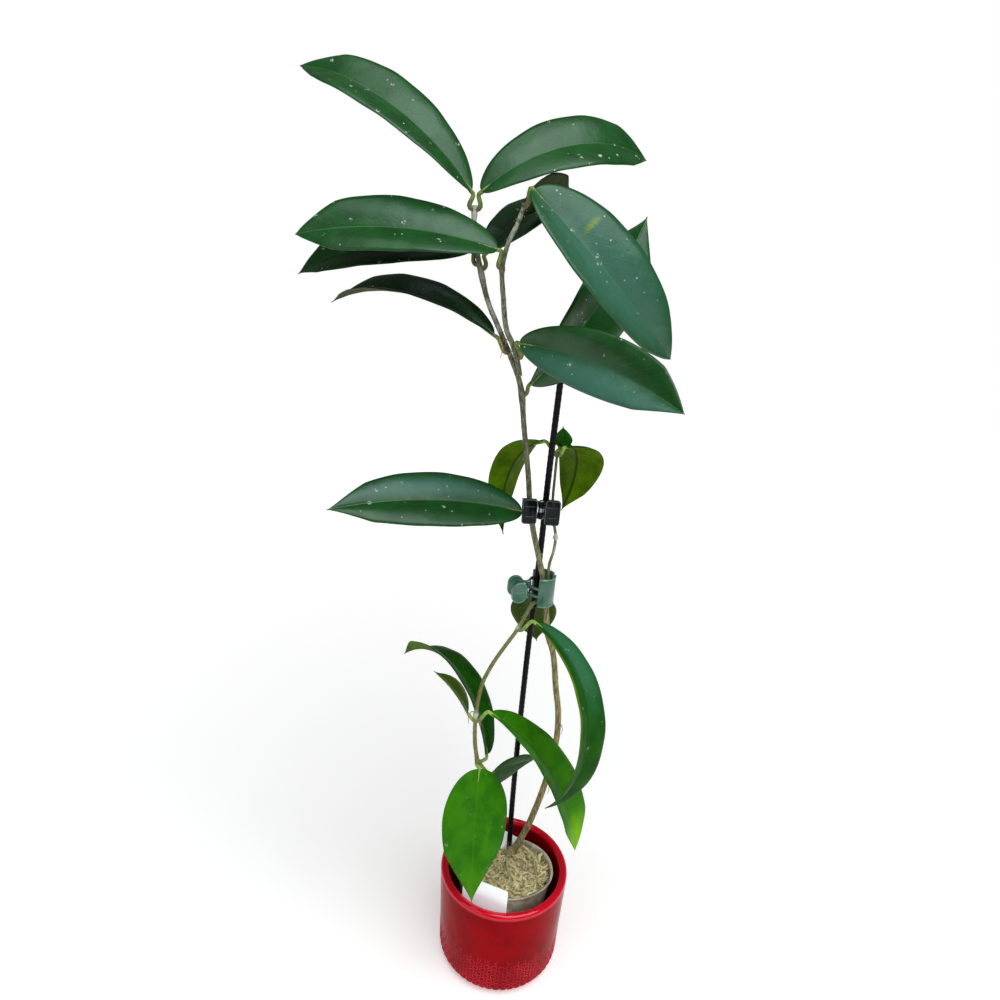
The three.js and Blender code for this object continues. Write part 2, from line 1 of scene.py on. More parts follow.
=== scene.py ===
"""A potted climbing wax plant (hoya) in a red glazed cache pot.

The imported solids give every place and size. This script dresses them: fine waxy blades with their
stalks, bark, roots and moss, glaze with its embossed rings, two claw clips, a stake and plain tags.
Sizes are in metres, and +Z is up. The photo is taken from -Y.
"""

import logging
import math
from collections.abc import Iterable, Sequence
from dataclasses import dataclass
from enum import Enum
from typing import ClassVar

import bmesh
import bpy
import numpy as np
from mathutils import Matrix, Vector


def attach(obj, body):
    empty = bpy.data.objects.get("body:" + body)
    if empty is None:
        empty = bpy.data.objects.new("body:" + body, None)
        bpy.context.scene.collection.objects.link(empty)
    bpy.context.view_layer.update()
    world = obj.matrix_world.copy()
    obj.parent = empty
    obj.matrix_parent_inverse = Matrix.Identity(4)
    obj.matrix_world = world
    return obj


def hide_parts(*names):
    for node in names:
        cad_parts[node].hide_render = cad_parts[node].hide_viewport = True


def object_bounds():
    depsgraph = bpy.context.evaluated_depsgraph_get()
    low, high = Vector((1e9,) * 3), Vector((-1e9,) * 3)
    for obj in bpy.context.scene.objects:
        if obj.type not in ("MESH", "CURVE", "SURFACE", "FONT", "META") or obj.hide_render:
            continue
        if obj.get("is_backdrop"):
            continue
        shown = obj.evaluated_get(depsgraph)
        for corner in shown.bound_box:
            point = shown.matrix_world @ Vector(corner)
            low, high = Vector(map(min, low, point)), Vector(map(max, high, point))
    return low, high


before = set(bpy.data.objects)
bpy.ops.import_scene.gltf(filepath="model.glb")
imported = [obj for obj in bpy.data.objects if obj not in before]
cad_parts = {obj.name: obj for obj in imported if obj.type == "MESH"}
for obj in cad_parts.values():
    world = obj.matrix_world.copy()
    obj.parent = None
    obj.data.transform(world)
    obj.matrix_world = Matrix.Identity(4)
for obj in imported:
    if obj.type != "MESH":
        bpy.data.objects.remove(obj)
CAD_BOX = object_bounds()

LOG = logging.getLogger("plant")
MM = 0.001
SEED = 7
SAME_POINT = 1e-6

Colour = tuple[float, float, float, float]
Point = tuple[float, float, float]
Array = np.ndarray
Piece = bpy.types.Object
Material = bpy.types.Material


def srgb(red: int, green: int, blue: int) -> Colour:
    """Turns a display colour of 0 to 255 into a shader colour.

    Args:
        red: The red channel.
        green: The green channel.
        blue: The blue channel.

    Returns:
        The colour, opaque.
    """

    def linear(value: float) -> float:
        """Undoes the display curve for one channel."""
        return value / 12.92 if value <= 0.04045 else ((value + 0.055) / 1.055) ** 2.4

    return linear(red / 255), linear(green / 255), linear(blue / 255), 1.0


@dataclass(frozen=True)
class Link:
    """An output of a node. Python's operators on it add Math nodes."""

    sheet: "NodeSheet"
    socket: bpy.types.NodeSocket

    def _maths(self, operation: str, other: "Link | float", swapped: bool = False) -> "Link":
        """Adds one Math node.

        Args:
            operation: The node's operation.
            other: The second number or link.
            swapped: Whether the other one comes first.

        Returns:
            The node's result.
        """
        pair = [other, self] if swapped else [self, other]
        return self.sheet.add("ShaderNodeMath", {"operation": operation}, dict(enumerate(pair)))

    def __add__(self, other: "Link | float") -> "Link":
        """Sum."""
        return self._maths("ADD", other)

    __radd__ = __add__

    def __sub__(self, other: "Link | float") -> "Link":
        """Difference."""
        return self._maths("SUBTRACT", other)

    def __rsub__(self, other: "Link | float") -> "Link":
        """Difference, from a number."""
        return self._maths("SUBTRACT", other, swapped=True)

    def __mul__(self, other: "Link | float") -> "Link":
        """Product."""
        return self._maths("MULTIPLY", other)

    __rmul__ = __mul__

    def __truediv__(self, other: "Link | float") -> "Link":
        """Quotient."""
        return self._maths("DIVIDE", other)

    def __rtruediv__(self, other: "Link | float") -> "Link":
        """Quotient, of a number."""
        return self._maths("DIVIDE", other, swapped=True)

    def __mod__(self, other: "Link | float") -> "Link":
        """Remainder that is never negative."""
        return self._maths("FLOORED_MODULO", other)

    def __floordiv__(self, other: "Link | float") -> "Link":
        """Quotient, rounded down."""
        return (self / other)._maths("FLOOR", 0.0)

    def __abs__(self) -> "Link":
        """Size without the sign."""
        return self._maths("ABSOLUTE", 0.0)

    def most(self, other: "Link | float") -> "Link":
        """The greater of the two."""
        return self._maths("MAXIMUM", other)

    def rise(self, low: float, high: float) -> "Link":
        """Goes smoothly from 0 at low to 1 at high."""
        sockets = {"Value": self, "From Min": low, "From Max": high}
        return self.sheet.add("ShaderNodeMapRange", {"interpolation_type": "SMOOTHSTEP"}, sockets)

    def fall(self, low: float, high: float) -> "Link":
        """Goes smoothly from 1 at low to 0 at high."""
        return 1.0 - self.rise(low, high)


class NodeSheet:
    """A node tree that is written as expressions."""

    def __init__(self, tree: bpy.types.NodeTree) -> None:
        """Takes the tree to write in."""
        self.tree = tree

    def add(
        self,
        kind: str,
        settings: dict[str, object] | None = None,
        sockets: dict[str | int, object] | None = None,
        output: str | int = 0,
    ) -> Link:
        """Adds a node.

        Args:
            kind: The node's type.
            settings: What is set on the node before its sockets.
            sockets: A value or a link for each socket, by name or number.
            output: The output that is wanted.

        Returns:
            The link from that output.
        """
        node = self.tree.nodes.new(kind)
        for name, setting in (settings or {}).items():
            setattr(node, name, setting)
        for key, value in (sockets or {}).items():
            if isinstance(value, Link):
                self.tree.links.new(value.socket, node.inputs[key])
            else:
                node.inputs[key].default_value = value
        return Link(self, node.outputs[output])


class Paint(NodeSheet):
    """A material with one Principled shader."""

    def __init__(self, name: str, constants: dict[str, object]) -> None:
        """Makes the material.

        Args:
            name: The material's name.
            constants: The shader's sockets that are the same all over the surface.
        """
        self.material = bpy.data.materials.new(name)
        self.material.use_nodes = True
        super().__init__(self.material.node_tree)
        self.shader = self.tree.nodes["Principled BSDF"]
        for socket, value in constants.items():
            self.shader.inputs[socket].default_value = value

    def feed(self, socket: str, link: Link) -> None:
        """Links a value that changes over the surface to the shader."""
        self.tree.links.new(link.socket, self.shader.inputs[socket])

    def place(self, stretch: Point = (1.0, 1.0, 1.0)) -> Link:
        """The place on the object, in metres, stretched along each axis."""
        here = self.add("ShaderNodeTexCoord", output="Object")
        return self.add("ShaderNodeMapping", sockets={"Vector": here, "Scale": stretch})

    def height(self) -> Link:
        """The height above the floor, in metres."""
        return self.add("ShaderNodeSeparateXYZ", sockets={0: self.place()}, output="Z")

    def noise(
        self, size: float, detail: float = 2.0, roughness: float = 0.5, stretch: Point = (1.0, 1.0, 1.0)
    ) -> Link:
        """Soft noise from 0 to 1.

        Args:
            size: The width of its patches in metres.
            detail: How many finer layers it has.
            roughness: How strong the finer layers are.
            stretch: How much closer together it lies along each axis.

        Returns:
            The noise.
        """
        sockets = {
            "Vector": self.place(stretch), "Scale": 1.0 / size, "Detail": detail, "Roughness": roughness,
        }
        return self.add("ShaderNodeTexNoise", sockets=sockets)

    def spots(self, spacing: float, radius: float) -> Link:
        """Round spots at random places, 1 in a spot and 0 elsewhere.

        Args:
            spacing: The mean distance between spots in metres.
            radius: A spot's radius as a share of the spacing.

        Returns:
            The mask.
        """
        sockets = {"Vector": self.place(), "Scale": 1.0 / spacing}
        distance = self.add("ShaderNodeTexVoronoi", sockets=sockets, output="Distance")
        return distance.fall(radius * 0.6, radius)

    def attribute(self, name: str) -> Link:
        """A number stored on the piece's own mesh."""
        return self.add("ShaderNodeAttribute", {"attribute_name": name}, output="Fac")

    def mix(self, share: Link | float, first: Link | Colour, second: Link | Colour) -> Link:
        """Mixes two colours, all of the second where share is 1."""
        sockets = {0: share, 6: first, 7: second}
        return self.add("ShaderNodeMix", {"data_type": "RGBA", "clamp_factor": True}, sockets, 2)

    def emboss(self, height: Link, depth: float, strength: float) -> None:
        """Gives the surface a fine relief.

        Args:
            height: The height from 0 to 1.
            depth: How deep the relief is in metres.
            strength: How strongly it shows.
        """
        sockets = {"Height": height, "Distance": depth, "Strength": strength}
        self.feed("Normal", self.add("ShaderNodeBump", sockets=sockets, output="Normal"))


class ShapeTree(NodeSheet):
    """A Geometry Nodes tree with named inputs, which is baked into a plain mesh."""

    def __init__(self, name: str, sizes: dict[str, float]) -> None:
        """Makes the tree.

        Args:
            name: The tree's name.
            sizes: The named inputs and their values.
        """
        tree = bpy.data.node_groups.new(name, "GeometryNodeTree")
        tree.interface.new_socket("Geometry", in_out="INPUT", socket_type="NodeSocketGeometry")
        for size, value in sizes.items():
            kind = "NodeSocketInt" if isinstance(value, int) else "NodeSocketFloat"
            tree.interface.new_socket(size, in_out="INPUT", socket_type=kind)
        tree.interface.new_socket("Geometry", in_out="OUTPUT", socket_type="NodeSocketGeometry")
        super().__init__(tree)
        self.sizes = sizes
        self.entry = tree.nodes.new("NodeGroupInput")

    def given(self, name: str = "Geometry") -> Link:
        """One of the tree's inputs."""
        return Link(self, self.entry.outputs[name])

    def vector(self, x: Link | float, y: Link | float, z: Link | float) -> Link:
        """Three numbers as a vector."""
        return self.add("ShaderNodeCombineXYZ", sockets={"X": x, "Y": y, "Z": z})

    def random(self, low: float, high: float, seed: int) -> Link:
        """A random number for each point or instance, with a fixed seed."""
        sockets = {2: low, 3: high, "Seed": seed}
        return self.add("FunctionNodeRandomValue", {"data_type": "FLOAT"}, sockets, 1)

    def stored(self, geometry: Link, name: str, value: Link) -> Link:
        """Stores a number on the geometry's points under a name.

        Args:
            geometry: The geometry.
            name: The number's name.
            value: The number at each point.

        Returns:
            The geometry with the number.
        """
        settings = {"data_type": "FLOAT", "domain": "POINT"}
        sockets = {"Geometry": geometry, "Name": name, "Value": value}
        return self.add("GeometryNodeStoreNamedAttribute", settings, sockets)

    def named(self, name: str) -> Link:
        """A number that the geometry carries under a name."""
        return self.add("GeometryNodeInputNamedAttribute", {"data_type": "FLOAT"}, {"Name": name})

    def scaled(self, vector: Link, scale: Link | float) -> Link:
        """A vector times a number."""
        return self.add("ShaderNodeVectorMath", {"operation": "SCALE"}, {0: vector, "Scale": scale})

    def circle(self, radius: Link | float, sides: Link | int) -> Link:
        """A circle as a curve."""
        sockets = {"Resolution": sides, "Radius": radius}
        return self.add("GeometryNodeCurvePrimitiveCircle", {"mode": "RADIUS"}, sockets)

    def shaken(self, geometry: Link, size: float, reach: Link | float) -> Link:
        """Moves points by smooth noise.

        Args:
            geometry: The points.
            size: The width of the noise's patches in metres.
            reach: How far a point may move in metres.

        Returns:
            The moved geometry.
        """
        noise = self.add(
            "ShaderNodeTexNoise", sockets={"Scale": 1.0 / size, "Detail": 1.0}, output="Color"
        )
        centred = self.add(
            "ShaderNodeVectorMath", {"operation": "SUBTRACT"}, {0: noise, 1: (0.5, 0.5, 0.5)}
        )
        offset = self.scaled(centred, reach * 2.0)
        return self.add("GeometryNodeSetPosition", sockets={"Geometry": geometry, "Offset": offset})

    def close(self, geometry: Link, material: Material) -> "ShapeTree":
        """Ends the tree with real, smooth, dressed geometry.

        Args:
            geometry: The geometry so far.
            material: What it wears.

        Returns:
            The same tree.
        """
        real = self.add("GeometryNodeRealizeInstances", sockets={"Geometry": geometry})
        smooth = self.add("GeometryNodeSetShadeSmooth", sockets={"Geometry": real})
        dressed = self.add(
            "GeometryNodeSetMaterial", sockets={"Geometry": smooth, "Material": material}
        )
        end = self.tree.nodes.new("NodeGroupOutput")
        self.tree.links.new(dressed.socket, end.inputs[0])
        return self

    def baked(self, carrier: Piece, name: str) -> Piece:
        """Runs the tree on a carrier and keeps the result as a piece.

        Args:
            carrier: The object whose mesh the tree starts from. It is removed.
            name: The new piece's name.

        Returns:
            The piece, with a plain mesh.
        """
        modifier = carrier.modifiers.new(self.tree.name, "NODES")
        modifier.node_group = self.tree
        for item in self.tree.interface.items_tree:
            if item.in_out == "INPUT" and item.name in self.sizes:
                modifier[item.identifier] = self.sizes[item.name]
        graph = bpy.context.evaluated_depsgraph_get()
        mesh = bpy.data.meshes.new_from_object(
            carrier.evaluated_get(graph), preserve_all_data_layers=True, depsgraph=graph
        )
        carrier.modifiers.remove(modifier)
        bpy.data.objects.remove(carrier)
        return placed_mesh(mesh, name)


def placed_mesh(mesh: bpy.types.Mesh, name: str) -> Piece:
    """Puts a mesh into the scene as an object at the origin.

    Args:
        mesh: The mesh.
        name: The name of both.

    Returns:
        The object.
    """
    mesh.name = name
    piece = bpy.data.objects.new(name, mesh)
    bpy.context.scene.collection.objects.link(piece)
    return piece


class Shell:
    """Vertices and faces that are gathered into one mesh, with numbers stored on the vertices."""

    def __init__(self) -> None:
        """Starts with nothing."""
        self.points: list[Array] = []
        self.faces: list[tuple[int, ...]] = []
        self.skins: list[int] = []
        self.stored: dict[str, list[Array]] = {}
        self.count = 0

    def gather(
        self,
        points: Array,
        faces: Iterable[Sequence[int]],
        skin: int | Sequence[int] = 0,
        stored: dict[str, Array] | None = None,
    ) -> None:
        """Adds vertices and faces.

        Args:
            points: The vertices in metres.
            faces: Each face as numbers of these vertices.
            skin: The number of the material, or one for each face.
            stored: Numbers for each vertex, by name. The first part has every name.
        """
        start = self.count
        added = [tuple(start + int(corner) for corner in face) for face in faces]
        self.points.append(np.asarray(points, float).reshape(-1, 3))
        self.count += len(self.points[-1])
        self.faces.extend(added)
        self.skins.extend([skin] * len(added) if isinstance(skin, int) else skin)
        for name, values in (stored or {}).items():
            self.stored.setdefault(name, []).append(np.asarray(values, float).ravel())

    def sheet(
        self,
        grid: Array,
        skin: int | Sequence[int] = 0,
        stored: dict[str, Array] | None = None,
        capped: bool = True,
    ) -> None:
        """Adds a grid of rows that each close into a ring, as quads.

        Args:
            grid: The points, rows by columns by 3.
            skin: The number of the material, or one for each column.
            stored: Numbers for each point, by name.
            capped: Whether the first and the last ring are closed by a face.
        """
        rows, columns = grid.shape[:2]
        worn = [skin] * columns if isinstance(skin, int) else list(skin)
        faces = []
        for here in range(0, (rows - 1) * columns, columns):
            for column in range(columns):
                after = (column + 1) % columns
                faces.append((here + column, here + after, here + columns + after, here + columns + column))
        skins = worn * (rows - 1)
        if capped:
            last = (rows - 1) * columns
            faces += [tuple(range(columns - 1, -1, -1)), tuple(range(last, last + columns))]
            skins += [worn[0], worn[0]]
        self.gather(grid, faces, skins, stored)

    def tube(
        self,
        path: Array,
        radii: Sequence[float] | float,
        sides: int,
        skin: int = 0,
        stored: dict[str, Array | float] | None = None,
    ) -> None:
        """Adds a round tube with closed ends along a path.

        Args:
            path: The points along the middle.
            radii: The radius at each point, or one for all.
            sides: The number of sides.
            skin: The number of the material.
            stored: A number for the whole tube or for each point of the path, by name.
        """
        path = np.asarray(path, float)
        widths = np.broadcast_to(np.asarray(radii, float), len(path))
        ahead = np.gradient(path, axis=0)
        ahead /= np.linalg.norm(ahead, axis=1)[:, None] + 1e-12
        side = np.cross(ahead[0], [0.3, 0.2, 0.93])
        side /= np.linalg.norm(side)
        angles = np.arange(sides) * 2 * math.pi / sides
        rings = []
        for point, direction, width in zip(path, ahead, widths):
            side = side - direction * (side @ direction)
            side /= np.linalg.norm(side)
            up = np.cross(direction, side)
            rings.append(point + width * (np.outer(np.cos(angles), side) + np.outer(np.sin(angles), up)))
        values = {
            name: np.repeat(np.broadcast_to(value, len(path)), sides)
            for name, value in (stored or {}).items()
        }
        self.sheet(np.array(rings), skin, values)

    def piece(self, name: str, materials: Sequence[Material]) -> Piece:
        """Makes the gathered faces an object at the origin.

        Args:
            name: The piece's name.
            materials: A material for each skin number.

        Returns:
            The piece.
        """
        mesh = bpy.data.meshes.new(name)
        mesh.from_pydata(np.concatenate(self.points).tolist(), [], self.faces)
        for material in materials:
            mesh.materials.append(material)
        mesh.polygons.foreach_set("material_index", self.skins)
        mesh.polygons.foreach_set("use_smooth", [True] * len(mesh.polygons))
        for label, parts in self.stored.items():
            values = np.concatenate(parts)
            values = np.concatenate([values, np.zeros(self.count - len(values))])
            mesh.attributes.new(label, "FLOAT", "POINT").data.foreach_set("value", values)
        mesh.update()
        return placed_mesh(mesh, name)


def smooth_path(points: Sequence[Point], count: int) -> Array:
    """Points evenly spaced on a smooth line through the given ones, which doesn't overshoot them.

    Args:
        points: The points that the line passes.
        count: How many points are wanted.

    Returns:
        The points as an array.
    """
    given = np.array(points, float)
    corners = np.concatenate([[2 * given[0] - given[1]], given, [2 * given[-1] - given[-2]]])
    gaps = np.sqrt(np.linalg.norm(np.diff(corners, axis=0), axis=1))
    dense = [given[0]]
    shares = np.linspace(0, 1, 13)[1:, None]
    for i, (before, start, end, after) in enumerate(zip(corners, corners[1:], corners[2:], corners[3:])):
        first, middle, last = gaps[i : i + 3]
        leave = (start - before) / first - (end - before) / (first + middle) + (end - start) / middle
        arrive = (end - start) / middle - (after - start) / (middle + last) + (after - end) / last
        leave, arrive = leave * middle, arrive * middle
        square = 3 * (end - start) - 2 * leave - arrive
        cube = 2 * (start - end) + leave + arrive
        dense.extend(start + leave * shares + square * shares ** 2 + cube * shares ** 3)
    line = np.array(dense)
    lengths = np.concatenate([[0], np.cumsum(np.linalg.norm(np.diff(line, axis=0), axis=1))])
    wanted = np.linspace(0, lengths[-1], count)
    return np.stack([np.interp(wanted, lengths, line[:, axis]) for axis in range(3)], 1)


class Slot(Enum):
    """The record's material slots."""

    GLAZE = "red_glaze"
    PLASTIC = "clear_plastic"
    MOSS = "moss"
    TAG = "white_tag"
    STAKE = "black_stake"
    BARK = "woody_stem"
    GREEN_STEM = "green_stem"
    DARK_LEAF = "dark_leaf"
    FRESH_LEAF = "fresh_leaf"
    BLACK_CLIP = "black_clip"
    GREEN_CLIP = "green_clip"
    STEEL = "steel"


class Shade(Enum):
    """What a patch on a blade does to its colour."""

    # Pale patches are painted sheen: the waxy face's reflected light put into its colour.
    PAINTED_SHEEN = "pale"
    # Deep patches are painted shade on the side of a blade turned away from the light.
    PAINTED_SHADE = "deep"
    YELLOW = "yellow"


def settle(
    piece: Piece, nodes: Sequence[str] = (), body: str = "root"
) -> Piece:
    """Gives a finished piece its body and hides the CAD nodes that it stands for.

    Args:
        piece: The piece.
        nodes: The CAD nodes that it replaces.
        body: The body that it moves with.

    Returns:
        The piece.
    """
    if nodes:
        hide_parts(*nodes)
    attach(piece, body)
    LOG.info("%s: %d faces on %s", piece.name, len(piece.data.polygons), body)
    return piece


@dataclass(frozen=True)
class Finish:
    """A finish that is painted once and shared."""

    made: ClassVar[dict["Finish", Material]] = {}

    def material(self) -> Material:
        """The finish as a material.

        Returns:
            The material, which is made on the first call.
        """
        if self not in Finish.made:
            Finish.made[self] = self.paint().material
        return Finish.made[self]

    def paint(self) -> Paint:
        """Makes the material."""
        raise NotImplementedError


@dataclass(frozen=True)
class Glaze(Finish):
    """Thick red glaze, bright and glossy on the lip and duller on the wall."""

    name: str = "red glaze"
    lip: Colour = srgb(220, 0, 36)
    body: Colour = srgb(158, 0, 12)
    deep: Colour = srgb(140, 0, 10)
    wall_gloss: float = 0.03
    lip_foot: float = 0.0955
    lip_head: float = 0.0995
    cloud_size: float = 0.024
    peel_size: float = 0.004
    peel_depth: float = 0.0004

    def paint(self) -> Paint:
        """Makes the material.

        Returns:
            The painted sheet.
        """
        sheet = Paint(self.name, {"Specular IOR Level": 0.02, "Coat Roughness": 0.05})
        cloud = sheet.noise(self.cloud_size, 4.0, 0.6)
        wall = sheet.mix(cloud.rise(0.42, 0.66), self.body, self.deep)
        edge = sheet.height() + (sheet.noise(0.012, 2.0) - 0.5) * 0.002
        on_lip = edge.rise(self.lip_foot, self.lip_head)
        sheet.feed("Base Color", sheet.mix(on_lip, wall, self.lip))
        sheet.feed("Coat Weight", on_lip * 0.8 + self.wall_gloss)
        sheet.feed("Roughness", 0.12 + 0.10 * sheet.noise(0.006, 3.0) + 0.05 * cloud)
        orange_peel = sheet.noise(self.peel_size, 2.0) * 0.6 + sheet.noise(0.0009, 2.0) * 0.25
        sheet.emboss(orange_peel, self.peel_depth, 0.5)
        return sheet


@dataclass(frozen=True)
class ClearPlastic(Finish):
    """Thin clear plastic that has gone hazy, with scratches and a brown cast."""

    tone: Colour = srgb(255, 244, 220)
    stain: Colour = srgb(206, 186, 164)
    haze_size: float = 0.012
    scratch_size: float = 0.0012
    scratch_depth: float = 0.0004

    def paint(self) -> Paint:
        """Makes the material.

        Returns:
            The painted sheet.
        """
        sheet = Paint("clear plastic", {"Specular IOR Level": 0.6})
        haze = sheet.noise(self.haze_size, 4.0, 0.6)
        scratch = sheet.noise(self.scratch_size, 2.0, 0.5, (1.0, 1.0, 0.12)).rise(0.60, 0.72)
        sheet.feed("Base Color", sheet.mix(haze.rise(0.4, 0.62), self.tone, self.stain))
        sheet.feed("Alpha", 0.46 + 0.30 * haze + 0.24 * scratch)
        sheet.feed("Roughness", 0.16 + 0.30 * haze + 0.2 * scratch)
        sheet.emboss(scratch * 0.6 + haze, self.scratch_depth, 0.5)
        return sheet


@dataclass(frozen=True)
class Fibre(Finish):
    """Dry or living fibre: moss strands, roots and hairs."""

    name: str = "moss"
    light: Colour = srgb(255, 244, 198)
    dark: Colour = srgb(240, 214, 146)
    grain: float = 0.0016
    roughness: float = 0.85
    depth: float = 0.0005

    def paint(self) -> Paint:
        """Makes the material.

        Returns:
            The painted sheet.
        """
        sheet = Paint(self.name, {"Specular IOR Level": 0.25, "Sheen Weight": 0.2})
        streak = sheet.noise(self.grain, 3.0, 0.6)
        # The stored shade is a random tone on strands and roots, and painted shade on the top of the moss
        # bed.
        share = (streak.rise(0.3, 0.7) * 0.65 + sheet.attribute("shade") * 0.5).rise(0.1, 1.0)
        sheet.feed("Base Color", sheet.mix(share, self.light, self.dark))
        sheet.feed("Roughness", self.roughness - 0.12 * streak)
        sheet.emboss(sheet.noise(self.grain * 0.5, 3.0), self.depth, 0.8)
        return sheet


@dataclass(frozen=True)
class Card(Finish):
    """The tags' satin white plastic with fine scuffs, with a painted glow that keeps it white even in the
    pot's shade.
    """

    tone: Colour = srgb(243, 249, 252)
    dust: Colour = srgb(206, 208, 204)
    painted_glow: float = 0.3
    dirt_size: float = 0.009
    scuff_size: float = 0.0015
    scuff_depth: float = 0.0002

    def paint(self) -> Paint:
        """Makes the material.

        Returns:
            The painted sheet.
        """
        # The tags glow with their own white colour: painted light, not a lamp.
        constants = {"Specular IOR Level": 0.5, "Emission Color": self.tone, "Emission Strength": self.painted_glow}
        sheet = Paint("white tag", constants)
        dirt = sheet.noise(self.dirt_size, 4.0, 0.65).rise(0.52, 0.78)
        sheet.feed("Base Color", sheet.mix(dirt * 0.7, self.tone, self.dust))
        sheet.feed("Roughness", 0.34 + 0.2 * dirt)
        sheet.emboss(sheet.noise(self.scuff_size, 2.0), self.scuff_depth, 0.3)
        return sheet


@dataclass(frozen=True)
class Moulded(Finish):
    """Moulded plastic with a soft grain, wear on high spots and faint flow marks."""

    name: str = "black stake"
    tone: Colour = srgb(5, 5, 7)
    worn: Colour = srgb(14, 14, 17)
    roughness: float = 0.36
    coat: float = 0.0
    grain: float = 0.0012
    specular: float = 0.15
    cloud_size: float = 0.008
    pit_spacing: float = 0.004
    depth: float = 0.0002

    def paint(self) -> Paint:
        """Makes the material.

        Returns:
            The painted sheet.
        """
        constants = {"Specular IOR Level": self.specular, "Coat Weight": self.coat, "Coat Roughness": 0.08}
        sheet = Paint(self.name, constants)
        cloud = sheet.noise(self.cloud_size, 4.0, 0.6)
        rub = cloud.rise(0.5, 0.72) * 0.6 + sheet.spots(self.pit_spacing, 0.16) * 0.4
        sheet.feed("Base Color", sheet.mix(rub, self.tone, self.worn))
        sheet.feed("Roughness", self.roughness + 0.18 * cloud)
        sheet.emboss(sheet.noise(self.grain, 3.0), self.depth, 0.35)
        return sheet


@dataclass(frozen=True)
class Steel(Finish):
    """Bright spring wire and pins."""

    tone: Colour = srgb(206, 210, 212)
    dull: Colour = srgb(150, 152, 150)
    cloud_size: float = 0.0015
    draw_size: float = 0.0004
    draw_depth: float = 0.00005

    def paint(self) -> Paint:
        """Makes the material.

        Returns:
            The painted sheet.
        """
        sheet = Paint("steel", {"Metallic": 1.0})
        cloud = sheet.noise(self.cloud_size, 3.0)
        sheet.feed("Base Color", sheet.mix(cloud.rise(0.4, 0.7), self.tone, self.dull))
        sheet.feed("Roughness", 0.18 + 0.22 * cloud)
        drawn = sheet.noise(self.draw_size, 2.0, stretch=(1.0, 1.0, 4.0))
        sheet.emboss(drawn, self.draw_depth, 0.4)
        return sheet


@dataclass(frozen=True)
class Bark(Finish):
    """Stem skin: fibrous bark, tan below and greyer above, green where young, with whitish scars."""

    name: str = "woody stem"
    light: Colour = srgb(176, 162, 112)
    dark: Colour = srgb(112, 98, 56)
    upper_light: Colour = srgb(124, 124, 96)
    upper_dark: Colour = srgb(60, 62, 44)
    green: Colour = srgb(92, 98, 40)
    scar: Colour = srgb(198, 198, 184)
    upper_from: float = 0.25
    upper_to: float = 0.5
    fibre_size: float = 0.0011
    blotch_size: float = 0.007
    depth: float = 0.0006

    def paint(self) -> Paint:
        """Makes the material.

        Returns:
            The painted sheet.
        """
        sheet = Paint(self.name, {"Specular IOR Level": 0.35})
        fibre = sheet.noise(self.fibre_size, 4.0, 0.65, (1.0, 1.0, 0.14))
        blotch = sheet.noise(self.blotch_size, 3.0, 0.6)
        upper = sheet.height().rise(self.upper_from, self.upper_to)
        pale = sheet.mix(upper, self.light, self.upper_light)
        wood = sheet.mix(fibre.rise(0.38, 0.62), sheet.mix(upper, self.dark, self.upper_dark), pale)
        skin = sheet.mix(sheet.attribute("green") * (0.6 + 0.4 * blotch), wood, self.green)
        white = (sheet.attribute("scar") * (0.3 + blotch.rise(0.36, 0.62))).rise(0.15, 1.0) * 0.8
        sheet.feed("Base Color", sheet.mix(white, skin, self.scar))
        sheet.feed("Roughness", 0.52 + 0.3 * fibre)
        sheet.emboss(fibre + blotch * 0.4, self.depth, 0.7)
        return sheet


